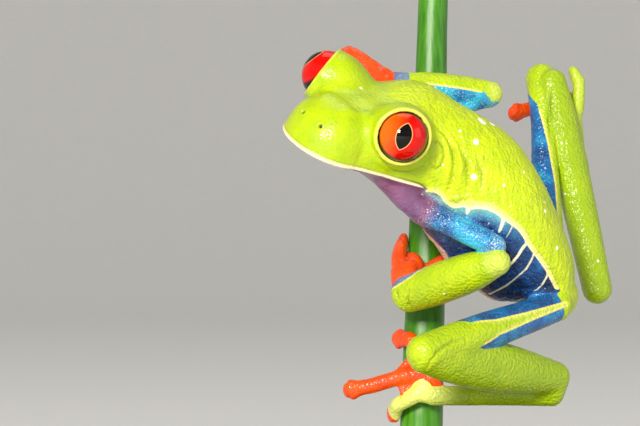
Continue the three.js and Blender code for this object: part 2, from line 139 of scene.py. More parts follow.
# [x, y, z, half width, half height to the back, half height to the belly]
TRUNK_ROWS = [
    [-7.0, -8.4, 50.4, 5.6, 5.4, 4.4],
    [-1.2, -7.0, 46.2, 5.8, 6.2, 6.9],
    [1.4, -6.2, 43.8, 6.2, 6.0, 7.5],
    [3.9, -5.5, 41.2, 6.2, 5.1, 7.9],
    [7.5, -4.2, 36.6, 4.8, 3.4, 6.6],
    [9.1, -3.4, 33.7, 3.2, 2.1, 3.4],
]
CHEST_RIGHT = [-0.4, 0.8, 0.44]  # the way the half width points, at the chest and the rump
RUMP_RIGHT = [-0.1, 0.95, 0.3]

# Profiles along a bone: [share of its length, half width, half height]
PROFILE = {
    "upper_arm_left": [[0, 1.3, 1.3], [0.35, 1.2, 1.2], [0.75, 1.25, 1.25], [1, 1.15, 1.15]],
    "upper_arm_right": [[0, 1.3, 1.3], [0.35, 1.0, 1.0], [0.75, 0.8, 0.8], [1, 1.05, 1.05]],
    "forearm_left": [[0, 1.4, 1.4], [0.3, 1.9, 2.1], [0.7, 1.9, 2.2], [1, 1.6, 1.9]],
    "forearm_right": [[0, 1.3, 1.35], [0.3, 1.7, 1.7], [0.7, 1.7, 1.8], [1, 1.4, 1.5]],
    "thigh_left": [[0, 1.6, 1.5], [0.3, 1.8, 1.8], [0.6, 1.9, 2.0], [1, 1.8, 1.9]],
    "thigh_right": [[0, 1.9, 1.9], [0.4, 1.5, 1.6], [0.75, 1.35, 1.4], [1, 1.75, 1.75]],
    "shank_left": [[0, 1.5, 1.9], [0.25, 1.9, 2.5], [0.6, 1.9, 2.6], [1, 1.6, 1.7]],
    "shank_right": [[0, 1.5, 1.6], [0.2, 1.75, 2.1], [0.6, 1.75, 2.1], [1, 1.6, 1.7]],
    "tarsus_left": [[0, 1.3, 1.4], [0.4, 1.1, 1.2], [1, 1.0, 1.0]],
    "tarsus_right": [[0, 1.3, 1.4], [0.4, 1.0, 1.1], [1, 0.9, 0.9]],
}

# [x, y, z, radius] up the stem, which leans away from the frog.
STEM_ROWS = [
    [-5.45, -1.4, STEM_FOOT, 2.35],
    [-5.2, -1.0, 20.6, 2.3],
    [-4.6, 1.0, 38.0, 2.05],
    [-3.9, 4.0, 61.4, 1.65],
    [-3.65, 5.1, STEM_HEAD, 1.6],
]


def by_stem(height, degrees, lift):
    """A point beside the stem: its height, its bearing (0 is +X, -90 the side of -Y) and its
    distance out from the bark."""
    x, y, r = (np.interp(height, [row[2] for row in STEM_ROWS], [row[k] for row in STEM_ROWS])
               for k in (0, 1, 3))
    angle = math.radians(degrees)
    return [x + (r + lift) * math.cos(angle), y + (r + lift) * math.sin(angle), height]


# Each digit runs root to tip, the innermost first. "palm" is the palm's or sole's own line,
# "size" its half width and half thickness, and "inward" points to its gripping side.
HANDS_AND_FEET = {
    "hand_left": {
        "palm": [[-7.0, -4.8, 33.9], [-7.2, -4.0, 35.0], [-7.2, -3.4, 35.9]],
        "inward": [0.55, 0.8, 0.1],
        "size": [1.6, 0.9],
        "digit": "finger",
        "digits": [
            [[-6.2, -3.9, 35.1], by_stem(35.7, -92, 0.8), by_stem(36.6, -56, 0.7),
             by_stem(37.3, -24, 0.65)],
            [[-6.8, -3.9, 34.9], by_stem(35.9, -124, 1.5), by_stem(36.9, -127, 0.85)],
            [[-7.5, -3.3, 35.6], [-7.7, -2.2, 37.1], [-7.5, -0.9, 38.0], by_stem(38.8, 190, 0.65)],
            [[-7.3, -3.0, 35.4], [-7.7, -0.9, 35.5], by_stem(36.1, 166, 0.75), by_stem(36.9, 132, 0.7)],
        ],
    },
    "hand_right": {
        "palm": [[-7.6, -2.0, 55.5], [-8.8, -2.3, 55.9], [-9.6, -2.4, 56.4]],
        "inward": [0.2, 0.9, -0.4],
        "size": [1.35, 0.8],
        "digit": "finger",
        "digits": [
            [[-9.1, -2.9, 55.8], [-10.2, -3.3, 55.5], [-11.2, -2.8, 55.4]],
            [[-10.0, -2.8, 56.4], [-11.4, -3.0, 57.0], [-12.9, -2.4, 57.6], [-14.0, -1.1, 57.7]],
            [[-10.0, -2.2, 56.7], [-11.3, -1.9, 58.0], [-12.6, -1.0, 58.9], [-13.4, 0.6, 59.1]],
            [[-9.5, -1.6, 56.5], [-10.4, -0.7, 57.5], [-11.2, 0.8, 58.0], [-11.8, 2.4, 57.8]],
        ],
    },
    "foot_left": {
        "palm": [[-4.3, -4.6, 22.9], [-4.9, -4.15, 24.0], [-5.1, -4.0, 25.0]],
        "inward": [0, 1, 0],
        "size": [1.5, 0.8],
        "digit": "toe",
        "digits": [
            [[-4.2, -4.0, 24.9], by_stem(25.1, -58, 0.85), by_stem(25.3, -12, 0.75),
             by_stem(25.4, 30, 0.65)],
            [[-4.4, -4.0, 25.4], by_stem(26.5, -62, 0.85), by_stem(27.5, -20, 0.75),
             by_stem(28.2, 18, 0.65)],
            [[-5.1, -4.1, 25.4], by_stem(27.2, -100, 1.1), by_stem(28.5, -120, 0.95),
             by_stem(28.5, 204, 0.75)],
            [[-5.7, -4.0, 24.9], [-7.8, -4.2, 24.5], [-10.4, -3.7, 23.7], [-12.7, -3.2, 23.2]],
            [[-5.0, -4.3, 23.5], [-6.1, -4.6, 22.6], by_stem(21.7, -132, 1.5), by_stem(20.6, -159, 1.0)],
        ],
    },
    "foot_right": {
        "palm": [[12.8, 12.4, 49.0], [12.6, 12.7, 51.4], [12.4, 12.9, 53.4]],
        "inward": [-1, 0.15, 0.1],
        "size": [1.2, 0.7],
        "digit": "toe",
        "digits": [
            [[12.1, 14.0, 52.6], [11.4, 15.2, 53.4], [10.2, 15.6, 53.4]],
            [[12.1, 13.9, 53.2], [11.3, 15.0, 54.6], [9.9, 15.4, 55.0], [8.6, 15.0, 54.6]],
            [[12.1, 13.6, 53.6], [11.3, 14.4, 55.4], [9.8, 14.9, 56.4], [8.2, 14.6, 56.4]],
            [[12.1, 13.2, 53.2], [11.0, 13.7, 54.5], [8.4, 13.3, 53.9], [5.7, 11.4, 53.2]],
            [[12.6, 12.6, 53.6], [12.8, 12.4, 55.2], [12.8, 12.6, 56.6], [12.4, 13.2, 57.5]],
        ],
    },
}
DIGIT = {
    "finger": {"root": 1.0, "waist": 0.88, "pad": 1.15, "web": 0.42},
    "toe": {"root": 0.95, "waist": 0.82, "pad": 1.1, "web": 0.42},
}
DIGIT_DEPTH = 0.85  # how deep a digit is against its width
PAD_DEPTH = 0.6  # half the thickness of a climbing pad
WEB_THICKNESS = 0.6


# -------------------------------------------------------------------- lofts as distances
def smooth_rows(rows, steps):
    """A Catmull-Rom curve through rows of any length, `steps` samples a span."""
    rows = np.array(rows, float)
    padded = np.vstack([2 * rows[0] - rows[1], rows, 2 * rows[-1] - rows[-2]])
    out = []
    for i in range(len(rows) - 1):
        before, start, end, after = padded[i : i + 4]
        slope_in, slope_out = (end - before) / 2, (after - start) / 2
        rise = end - start
        bend = 3 * rise - 2 * slope_in - slope_out
        twist = slope_in + slope_out - 2 * rise
        for t in np.arange(steps) / steps:
            out.append(start + slope_in * t + bend * t * t + twist * t * t * t)
    out.append(rows[-1])
    return np.array(out)


class Loft:
    """A round-ended tube of egg-shaped sections round a smooth spine."""

    def __init__(self, rows, side, side_end=None, square=2.0, steps=6, cap=1.0):
        line = smooth_rows(rows, steps)
        self.spine, self.size, self.square = line[:, :3], line[:, 3:6], square
        last = len(line) - 1
        ahead = self.spine[np.minimum(np.arange(last + 1) + 1, last)]
        behind = self.spine[np.maximum(np.arange(last + 1) - 1, 0)]
        tangent = unit(ahead - behind)
        turn = np.linspace(0, 1, last + 1)[:, None]
        side = np.asarray(side, float)
        across = side * (1 - turn) + (side if side_end is None else np.asarray(side_end)) * turn
        across -= (across * tangent).sum(1, keepdims=True) * tangent
        self.across = unit(across)
        self.up = np.cross(tangent, self.across)
        self.tangent = tangent
        w, h, g = self.size[[0, -1]].T
        self.cap = np.minimum(w, (h + g) / 2) * np.array(cap)
        reach = self.size.max()
        self.low, self.high = self.spine.min(0) - reach, self.spine.max(0) + reach
        self.length = np.linalg.norm(np.diff(self.spine, axis=0), axis=1).sum()

    def locate(self, p):
        """The nearest sample of the spine before each point, and the share on to the next."""
        best = np.full(len(p), np.inf)
        index = np.zeros(len(p), int)
        share = np.zeros(len(p))
        for i in range(len(self.spine) - 1):
            a, d = self.spine[i], self.spine[i + 1] - self.spine[i]
            s = np.clip((p - a) @ d / (d @ d), 0, 1)
            off = p - a - s[:, None] * d
            far = np.einsum("ij,ij->i", off, off)
            closer = far < best
            best[closer], index[closer], share[closer] = far[closer], i, s[closer]
        return index, share

    def frame_at(self, index, share):
        s = share[:, None]
        return [a[index] * (1 - s) + a[index + 1] * s
                for a in (self.spine, self.across, self.up, self.tangent, self.size)]

    def measure(self, p):
        """Distance to the surface, share along the spine, and angle from up towards side."""
        index, share = self.locate(p)
        centre, across, up, tangent, size = self.frame_at(index, share)
        v = p - centre
        x, y, z = (np.einsum("ij,ij->i", v, axis) for axis in (across, up, tangent))
        tall = np.where(y > 0, size[:, 1], size[:, 2])
        n = self.square
        reach_x, reach_y = np.abs(x) / size[:, 0], np.abs(y) / tall
        flat = np.maximum(reach_x**n + reach_y**n, 1e-12) ** (1 / n)
        cap = np.where(index + share < 0.5 * len(self.spine), self.cap[0], self.cap[1])
        scaled = np.sqrt(flat**2 + (z / cap) ** 2)
        steep = flat ** (2 - n) * np.hypot(reach_x ** (n - 1) / size[:, 0], reach_y ** (n - 1) / tall)
        slope = np.hypot(steep, z / cap**2) / scaled
        distance = (scaled - 1) / np.maximum(slope, 1 / size.max(1))
        along = (index + share) / (len(self.spine) - 1)
        return distance, along, np.arctan2(x, y)

    def place(self, along, angle):
        """The points of the surface at these shares of the spine and angles from up."""
        t = np.asarray(along) * (len(self.spine) - 1)
        index = np.minimum(t.astype(int), len(self.spine) - 2)
        centre, across, up, _, size = self.frame_at(index, t - index)
        x, y = np.sin(angle), np.cos(angle)
        tall = np.where(y > 0, size[:, 1], size[:, 2])
        flat = (np.abs(x / size[:, 0]) ** self.square + np.abs(y / tall) ** self.square) ** (1 / self.square)
        return centre + across * (x / flat)[:, None] + up * (y / flat)[:, None]


def melt(a, b, width):
    """The nearer of two distances, with the crease between them filled over `width`."""
    near = np.maximum(width - np.abs(a - b), 0) / np.maximum(width, 1e-9)
    return np.minimum(a, b) - near * near * width / 4


def to_line(p, line):
    """The distance of points to a line through some points, and the share along it."""
    line = np.asarray(line, float)
    best, along = np.full(len(p), np.inf), np.zeros(len(p))
    for i in range(len(line) - 1):
        a, d = line[i], line[i + 1] - line[i]
        s = np.clip((p - a) @ d / (d @ d), 0, 1)
        far = np.linalg.norm(p - a - s[:, None] * d, axis=1)
        closer = far < best
        best[closer] = far[closer]
        along[closer] = (i + s[closer]) / (len(line) - 1)
    return best, along


# ---------------------------------------------------------------------------- the head
head_x = unit(HEAD_FORWARD)
head_z = unit(np.cross(head_x, HEAD_LEFT))
HEAD_TURN = np.stack([head_x, np.cross(head_z, head_x), head_z])  # rows: forward, left, up
LID_WAY = unit([0.55, 0.8, 0.24])  # out of the left lids, in the head's frame
LID_OPENING = math.sqrt(EYE_RADIUS**2 - EYE_OPENING**2)
LID_SKIRT = 1.6  # how wide the lids' slope round the opening is
FAR_INSIDE = -9.0
MOUTH_LINE = np.array([[-6.4, -5.5], [0.0, -4.95], [4.0, -4.8], [12.0, -4.7]])
JAW_INSET = np.array([[-6.5, 0.3], [-2.0, 0.5], [1.5, 1.1], [4.5, 0.9], [8.0, 0.4]])  # [x, inset]
LIP_HEIGHT = np.array([[-6.6, 0.08], [-4.0, 0.34], [7.0, 0.44]])  # [x, height of the pale lip]


def in_head(p):
    return (p - HEAD_AT) @ HEAD_TURN.T


def from_head(p):
    return np.asarray(p, float) @ HEAD_TURN + HEAD_AT


def by_the_lids(q):
    """Height over the plane of the left lids, and distance from its middle line."""
    from_eye = q - [0, EYE_SPREAD, 0]
    height = from_eye @ LID_WAY
    beside = np.linalg.norm(from_eye - height[:, None] * LID_WAY, axis=1)
    return height - EYE_OPENING, beside


class Head:
    """The skull with the humps over the eyes, the lids, the lips and the shallow lower jaw.
    It is worked out for the left side, and mirrored."""

    def __init__(self):
        rows = [[x, 0, z, w, h, g] for x, z, w, h, g in HEAD_ROWS]
        self.loft = Loft(rows, [0, 1, 0], square=2.35, cap=(0.72, SNOUT_LENGTH / 3.4))
        corners = [(x, y, z) for x in (-16, 11) for y in (-10, 10) for z in (-10, 4)]
        world = from_head(corners)
        self.low, self.high = world.min(0), world.max(0)

    def measure(self, p):
        q = in_head(p)
        f, along, angle = self.loft.measure(q)
        q = q * [1, 0, 1] + np.abs(q) * [0, 1, 0]
        lid_height, beside = by_the_lids(q)

        # The mouth: a lower jaw set in under the lip, and a fine groove between them.
        over_mouth = q[:, 2] - np.interp(q[:, 0], *MOUTH_LINE.T)
        f = f + np.interp(q[:, 0], *JAW_INSET.T) * smoothstep(0.05, -0.75, over_mouth)
        lip = np.interp(q[:, 0], *LIP_HEIGHT.T)
        f = f - 0.1 * smoothstep(-0.1, 0.1, over_mouth) * smoothstep(lip + 0.1, lip - 0.1, over_mouth)

        # The hump over the eye, cut off by the plane of the lids, and their rounded rim.
        hump = np.linalg.norm(q - HUMP_AT, axis=1) - HUMP_RADIUS
        temple = np.linalg.norm(q - TEMPLE_AT, axis=1) - TEMPLE_RADIUS
        f = melt(melt(f, temple, 1.5), hump, 1.8)
        whole = f
        outside = beside - LID_OPENING
        slope = 0.25 * smoothstep(0.3, LID_SKIRT, outside)
        cut = np.where(outside < LID_SKIRT, lid_height - slope, FAR_INSIDE)
        f = -melt(-f, -cut, 0.4)
        rim = np.hypot(beside - LID_OPENING - 0.25, lid_height + 0.1) - 0.22
        f = melt(f, rim + np.maximum(whole - 0.1, 0), 0.25)
        ball = np.linalg.norm(q - [0, EYE_SPREAD, 0], axis=1) - EYE_RADIUS - 0.04
        return np.maximum(f, -ball), along, angle


# ------------------------------------------------------------------------- the whole body
def fold_normal(*joints):
    a, b, c = (np.array(JOINT[name]) for name in joints)
    return unit(np.cross(b - a, c - b))


def bone(start, end, profile, side):
    a, b = np.array(JOINT[start]), np.array(JOINT[end])
    return Loft([[*(a + (b - a) * t), w, h, h] for t, w, h in profile], side, steps=4)


def pad_way(points, inward):
    """The way a pad presses: to the stem's middle where it is near, or else inward."""
    x, y, z = points[-1]
    middle = (np.array(by_stem(z, 0, 0)) + by_stem(z, 180, 0)) / 2
    to_stem = (middle - [x, y, z]) * [1, 1, 0]
    return unit(to_stem) if np.linalg.norm(to_stem) < 4 else inward


def digit(points, size, inward):
    points = np.array(points, float)
    joint, end = points[-2:]
    neck = end + (joint - end) * 0.95 * size["pad"] / np.linalg.norm(end - joint)
    shaft = [*points[:-1], neck]
    rows = []
    for i, point in enumerate(shaft):
        r = size["root"] if i == 0 else size["waist"]
        rows.append([*point, r, DIGIT_DEPTH * r, DIGIT_DEPTH * r])
    rows.append([*end, size["pad"], PAD_DEPTH, PAD_DEPTH])
    tip = end + (end - neck) * 0.4 * size["pad"] / np.linalg.norm(end - neck)
    rows.append([*tip, 0.74 * size["pad"], 0.9 * PAD_DEPTH, 0.9 * PAD_DEPTH])
    side = np.cross(unit(shaft[1] - shaft[0]), inward)
    side_end = np.cross(unit(end - neck), pad_way(points, inward))
    return Loft(rows, side, side_end, steps=4)


def palm(shape):
    line = np.array(shape["palm"])
    w, h = shape["size"]
    return Loft([[*p, w, h, h] for p in line], np.cross(line[2] - line[0], shape["inward"]), steps=3)


def web(corner, left, right):
    """A thin sheet of skin that spreads from the palm to the sides of two digits."""
    corner, left, right = (np.array(p) for p in (corner, left, right))
    half, thin = np.linalg.norm(right - left) / 2, WEB_THICKNESS / 2
    end = (left + right) / 2
    rows = [[*(corner + (end - corner) * t), 0.4 + (half - 0.4) * t, thin, thin] for t in (0, 0.5, 1)]
    return Loft(rows, right - left, steps=2)


def webs(shape):
    share = DIGIT[shape["digit"]]["web"]
    edges = [smooth_rows(points, 8) for points in shape["digits"]]
    edges = [line[int(share * (len(line) - 1))] for line in edges]
    return [web(shape["palm"][1], a, b) for a, b in zip(edges, edges[1:])]


PARTS = {
    "head": Head(),
    "trunk": Loft(TRUNK_ROWS, CHEST_RIGHT, RUMP_RIGHT),
}
for side, key in (("left", "L"), ("right", "R")):
    arm = fold_normal("shoulder" + key, "elbow" + key, "wrist" + key)
    leg = fold_normal("hip" + key, "knee" + key, "heel" + key)
    for name, start, end, normal in (
        ("upper_arm", "shoulder", "elbow", arm),
        ("forearm", "ulna", "wrist", arm),
        ("thigh", "hip", "knee", leg),
        ("shank", "calf", "heel", leg),
        ("tarsus", "tarsus", "ankle", leg),
    ):
        name = f"{name}_{side}"
        PARTS[name] = bone(start + key, end + key, PROFILE[name], normal)
for name, shape in HANDS_AND_FEET.items():
    side = name.split("_")[1]
    inward = unit(shape["inward"])
    PARTS[name] = palm(shape)
    for i, points in enumerate(shape["digits"]):
        PARTS[f"{shape['digit']}_{side}_{i + 1}"] = digit(points, DIGIT[shape["digit"]], inward)
    for i, sheet in enumerate(webs(shape)):
        PARTS[f"web_{shape['digit']}_{side}_{i + 1}"] = sheet

THROAT_ROWS = [[-9.1, -12.6, 45.2, 0.9, 0.9, 0.9], [-7.3, -12.0, 43.3, 1.1, 1.1, 1.1],
               [-5.3, -11.3, 42.2, 1.0, 1.0, 1.0]]
PARTS["throat"] = Loft(THROAT_ROWS, [0, 1, 0])
BULB_ROWS = [[-6.4, -3.5, 35.6, 0.9, 0.9, 0.9], [-6.1, -3.0, 36.3, 1.05, 1.05, 1.05],
             [-6.05, -2.6, 36.7, 0.95, 0.95, 0.95]]
PARTS["bulb_left"] = Loft(BULB_ROWS, [1, 0, 0])  # the bent second finger, pressed on the stem
REACH = 2.6  # past this distance a part has no say in the skin
HIP_FILLET = {"left": 1.5, "right": 2.4}  # how wide each thigh melts into the trunk


def measure_all(p):
    """What every part measures at the points: distance, share along it, angle round it."""
    out = {}
    for name, part in PARTS.items():
        near = np.all((p > part.low - REACH) & (p < part.high + REACH), axis=1)
        f, along, angle = np.full(len(p), REACH), np.zeros(len(p)), np.zeros(len(p))
        if near.any():
            f[near], along[near], angle[near] = part.measure(p[near])
        out[name] = (np.minimum(f, REACH), along, angle)
    return out


def stem_distance(p):
    heights = [row[2] for row in STEM_ROWS]
    x, y, r = (np.interp(p[:, 2], heights, [row[k] for row in STEM_ROWS]) for k in (0, 1, 3))
    return np.hypot(p[:, 0] - x, p[:, 1] - y) - r


def skin_distance(p):
    """The distance, in millimetres, from each point to the frog's skin."""
    m = measure_all(p)
    f = melt(m["head"][0], m["trunk"][0], 1.8)
    f = melt(f, m["throat"][0], 1.6)
    for side in ("left", "right"):
        upper, share, _ = m["upper_arm_" + side]
        shoulder = smoothstep(0.75, 0.15, share) * smoothstep(2.4, 0.6, upper)
        arm = melt(upper, m["forearm_" + side][0], 0.35)
        arm = melt(arm, limb_end(m, "hand_" + side, "finger", 4), 0.5)
        f = melt(f, arm, 0.12 + 1.3 * shoulder)
        thigh, share, _ = m["thigh_" + side]
        hip = smoothstep(0.6, 0.1, share) * smoothstep(2.4, 0.6, thigh)
        shank, down, _ = m["shank_" + side]
        leg = melt(thigh, shank, 0.3)
        heel = smoothstep(0.7, 1.0, down)
        foot = melt(m["tarsus_" + side][0], limb_end(m, "foot_" + side, "toe", 5), 0.5)
        leg = melt(leg, foot, 0.15 + 0.8 * heel)
        f = melt(f, leg, 0.12 + HIP_FILLET[side] * hip)
    return np.maximum(f, 0.03 - stem_distance(p))


def limb_end(m, name, kind, count):
    side = name.split("_")[1]
    digits = m[f"{kind}_{side}_1"][0]
    for i in range(2, count + 1):
        digits = melt(digits, m[f"{kind}_{side}_{i}"][0], 0.12)
    for i in range(1, count):
        digits = melt(digits, m[f"web_{kind}_{side}_{i}"][0], 0.3)
    if name == "hand_left":
        digits = melt(digits, m["bulb_left"][0], 0.25)
    return melt(m[name][0], digits, 0.4)


# ---------------------------------------------------------------------- drawing the net
PITCH = 0.125  # spacing of the skin's quads
HALVINGS = 4  # from the first, coarse cells down to that spacing
MARGIN = 1.35  # how much farther than its true distance a point may measure
CHUNK = 200_000
SKIN_LOW, SKIN_HIGH = np.array([-21.5, -24.0, 18.5]), np.array([18.5, 19.5, 62.0])
HALVES = np.stack(np.meshgrid([0, 1], [0, 1], [0, 1], indexing="ij"), -1).reshape(-1, 3)


def in_chunks(measure, p):
    return np.concatenate([measure(p[i : i + CHUNK]) for i in range(0, len(p), CHUNK)])


def sample(distance, low, high):
    """The distance, PITCH apart. Only the cells that the surface may pass through are
    measured, halving by halving, and the rest keep the sign of the cell around them."""
    size = PITCH * 2**HALVINGS
    count = np.ceil((high - low) / size).astype(int)
    cells = np.argwhere(np.ones(count, bool))
    field = in_chunks(distance, low + (cells + 0.5) * size).reshape(count).astype(np.float32)
    for _ in range(HALVINGS):
        close = np.argwhere(np.abs(field) < math.sqrt(3) / 2 * size * MARGIN)
        size /= 2
        field = field.repeat(2, 0).repeat(2, 1).repeat(2, 2)
        spots = (close[:, None] * 2 + HALVES).reshape(-1, 3)
        field[tuple(spots.T)] = in_chunks(distance, low + (spots + 0.5) * size)
    return field


def part_diagonals(field):
    """Where samples inside the skin touch across a square's diagonal alone, one is put just
    outside, so that no edge of the net is shared by four quads."""
    for _ in range(4):
        for u, v in ((0, 1), (1, 2), (2, 0)):
            corner = {}
            for a in (0, 1):
                for b in (0, 1):
                    window = [slice(None)] * 3
                    window[u], window[v] = slice(a, a - 1 or None), slice(b, b - 1 or None)
                    corner[a, b] = field[tuple(window)]
            for a in (0, 1):
                here, there = corner[0, a], corner[1, 1 - a]
                alone = (here < 0) & (there < 0) & (corner[1, a] >= 0) & (corner[0, 1 - a] >= 0)
                here[alone] = 0.01 * PITCH


def draw_net(distance, low, high):
    """The vertices and quads of a net over distance = 0."""
    fine = sample(distance, low, high)
    part_diagonals(fine)
    inside = fine < 0
    shape = np.array(fine.shape) - 1
    total = np.zeros(shape, np.int8)
    for x, y, z in HALVES:
        total += inside[x : x + shape[0], y : y + shape[1], z : z + shape[2]]
    cells = np.argwhere((total > 0) & (total < 8))
    number = np.full(shape, -1, np.int32)
    number[tuple(cells.T)] = np.arange(len(cells))

    # Each vertex is the mean of the places where the surface crosses its cell's edges.
    place, crossings = np.zeros((len(cells), 3)), np.zeros((len(cells), 1))
    for axis in range(3):
        for corner in HALVES[HALVES[:, axis] == 0]:
            other = corner + np.eye(3, dtype=int)[axis]
            a, b = fine[tuple((cells + corner).T)], fine[tuple((cells + other).T)]
            crossed = (a < 0) != (b < 0)
            share = a[crossed] / (a[crossed] - b[crossed])
            place[crossed] += corner + share[:, None] * (other - corner)
            crossings[crossed] += 1
    vertices = low + (cells + place / crossings + 0.5) * PITCH

    quads = []
    for axis in range(3):
        u, v = np.eye(3, dtype=int)[(axis + 1) % 3], np.eye(3, dtype=int)[(axis + 2) % 3]
        ahead = [slice(1, None) if k == axis else slice(None) for k in range(3)]
        back = [slice(None, -1) if k == axis else slice(None) for k in range(3)]
        crossed = np.argwhere(inside[tuple(back)] != inside[tuple(ahead)])
        outward = inside[tuple(crossed.T)]
        ring = [number[tuple((crossed - o).T)] for o in (0 * u, u, u + v, v)]
        quad = np.stack(ring, 1)
        quad[~outward] = quad[~outward, ::-1]
        quads.append(quad)
    return vertices, np.concatenate(quads)


def add_mesh(name, vertices, faces, fields=None):
    """A smooth mesh from points in millimetres, with its markings as attributes."""
    mesh = bpy.data.meshes.new(name)
    mesh.from_pydata((np.asarray(vertices) * MM).tolist(), [], [list(f) for f in faces])
    mesh.polygons.foreach_set("use_smooth", [True] * len(mesh.polygons))
    for field, values in (fields or {}).items():
        attribute = mesh.attributes.new(field, "FLOAT", "POINT")
        attribute.data.foreach_set("value", np.asarray(values, np.float32))
    piece = bpy.data.objects.new(name, mesh)
    bpy.context.scene.collection.objects.link(piece)
    return piece


# ------------------------------------------------------------------------ the markings
SIGHT_START = 270.0  # from the camera, a little in front of the frog
SIGHT_STEPS = 70


def seen_at(pixels, distance):
    """Where the sight lines through these pixels first meet distance = 0, or pass closest."""
    way = sight(pixels)
    travelled = np.full(len(way), SIGHT_START)
    closest, best = np.full(len(way), np.inf), travelled.copy()
    for _ in range(SIGHT_STEPS):
        f = distance(CAMERA_AT + way * travelled[:, None])
        nearer = np.abs(f) < closest
        closest[nearer], best[nearer] = np.abs(f[nearer]), travelled[nearer]
        travelled = travelled + np.clip(f, -0.5, 1.5) * 0.8
    return CAMERA_AT + way * best[:, None]


def band(distance, half_width):
    """Millimetres inside a band round distance = 0, with a round crest instead of a ridge."""
    return (half_width**2 - distance**2) / (2 * half_width)


def side_of_line(p, line, normals):
    """The distance of points to a line on a surface, positive on the line's left."""
    ahead = np.diff(line, axis=0)
    ahead = unit(np.vstack([ahead[:1], ahead]) + np.vstack([ahead, ahead[-1:]]))
    left = np.cross(normals, ahead)
    best, signed = np.full(len(p), np.inf), np.zeros(len(p))
    for i in range(len(line) - 1):
        a, d = line[i], line[i + 1] - line[i]
        s = np.clip((p - a) @ d / (d @ d), 0, 1)
        off = p - a - s[:, None] * d
        far = np.linalg.norm(off, axis=1)
        closer = far < best
        best[closer] = far[closer]
        way = left[i] * (1 - s[closer, None]) + left[i + 1] * s[closer, None]
        signed[closer] = np.where((off[closer] * way).sum(1) < 0, -1, 1)
    return best * signed


# Lines on the frog's left flank, as the camera sees them.
FLANK_EDGE = [(418, 186), (430, 187), (438, 188), (443, 193), (448, 199), (453, 203), (459, 202), (464, 201),
              (470, 203), (478, 202), (488, 203), (497, 207), (505, 213), (513, 219), (521, 225),
              (527, 233), (531, 241), (537, 250), (543, 258), (549, 267), (554, 277), (560, 290), (566, 301)]
BELLY_EDGE = [(408, 214), (420, 227), (432, 238), (442, 248), (458, 268), (474, 284), (486, 294),
              (499, 302), (520, 309)]
# The bars: [points, half width at the top, half width at the foot]
BARS = [
    ([(471, 203), (468, 210), (466, 217)], 0.5, 0.06),
    ([(489, 223), (487, 227), (485, 231)], 0.07, 0.06),
    ([(505, 214), (502, 225), (498, 234), (497, 241)], 0.28, 0.1),
    ([(514, 223), (510, 231), (506, 238)], 0.08, 0.06),
    ([(528, 241), (522, 249), (517, 257), (510, 265), (500, 274), (486, 284)], 0.22, 0.11),
    ([(535, 251), (532, 259), (526, 269), (517, 277), (507, 285), (498, 290), (489, 294)], 0.12, 0.1),
    ([(549, 267), (547, 276), (542, 285), (533, 292), (522, 299), (509, 303), (500, 304), (492, 301)],
     0.11, 0.11),
]
# White flecks on the back: [u, v, radius]
FLECKS = [(461, 107, 0.14), (482, 121, 0.5), (492, 124, 0.34), (460, 131, 0.17), (476, 142, 0.34),
          (474, 177, 0.33), (443, 165, 0.13), (504, 185, 0.16), (524, 172, 0.15), (526, 152, 0.13),
          (544, 202, 0.17), (545, 211, 0.2), (557, 248, 0.2), (361, 88, 0.2), (444, 294, 0.15),
          (598, 261, 0.16), (565, 194, 0.14)]

# The way the green side of each limb faces, and half its spread: [share of the limb, degrees].
GREEN_SIDE = {
    "upper_arm_left": ([0.8, -0.5, -0.3], [[0, -90], [1, -60]]),
    "forearm_left": ([-0.15, -0.8, -0.58],
                     [[0, 165], [0.15, 130], [0.35, 115], [0.6, 110], [0.8, 84], [1, 74]]),
    "thigh_left": ([0, -1, 0.05], [[0, 8], [0.3, 14], [0.6, 24], [0.75, 45], [0.9, 160]]),
    "shank_left": ([-0.1, -0.8, -0.5], [[0, 180], [0.5, 135], [1, 180]]),
    "tarsus_left": ([0, -1, -0.3], [[0, 180], [0.4, 125], [1, 125]]),
    "upper_arm_right": ([0.6, -0.3, 0.7], [[0, -90], [0.85, -50], [1, 60]]),
    "forearm_right": ([0.15, -0.1, 1], [[0, 125], [0.06, 100], [0.12, 80], [0.5, 70], [1, 60]]),
    "thigh_right": ([1, -0.15, 0], [[0.3, 42], [0.53, 71], [0.76, 112], [0.9, 175]]),
    "shank_right": ([0.4, -0.9, 0], [[0, 180], [0.5, 150], [1, 180]]),
    "tarsus_right": ([0.7, -0.6, 0], [[0, 180], [0.5, 140], [1, 140]]),
}


def green_side(name, p, along):
    """Millimetres inside the edge of a limb's green side."""
    part = PARTS[name]
    way, spread = GREEN_SIDE[name]
    centre, _, _, tangent, size = part.frame_at(*part.locate(p))
    out = unit(p - centre)
    way = unit(np.asarray(way, float) - (tangent @ np.asarray(way, float))[:, None] * tangent)
    apart = np.degrees(np.arccos(np.clip((out * way).sum(1), -1, 1)))
    limit = np.interp(along, *np.array(spread).T)
    return np.radians(limit - apart) * size.mean(1)


# The markings, each a field of its own. The first five are distances inside an edge, in
# millimetres, and the others are amounts, mostly from 0 to 1. Some are painted light: one
# darkens the hollows, the nostril and the lip's crease as painted shade, one lays pale specks
# that are partly the skin's own whitish dots and partly painted glints, and the white flecks
# also hold a painted highlight by the nostril.
FIELDS = ("green", "cream", "orange", "belly", "fleck",
          "mauve", "bright", "leg", "pale", "painted_shade", "specks_and_glints", "creased", "grain")


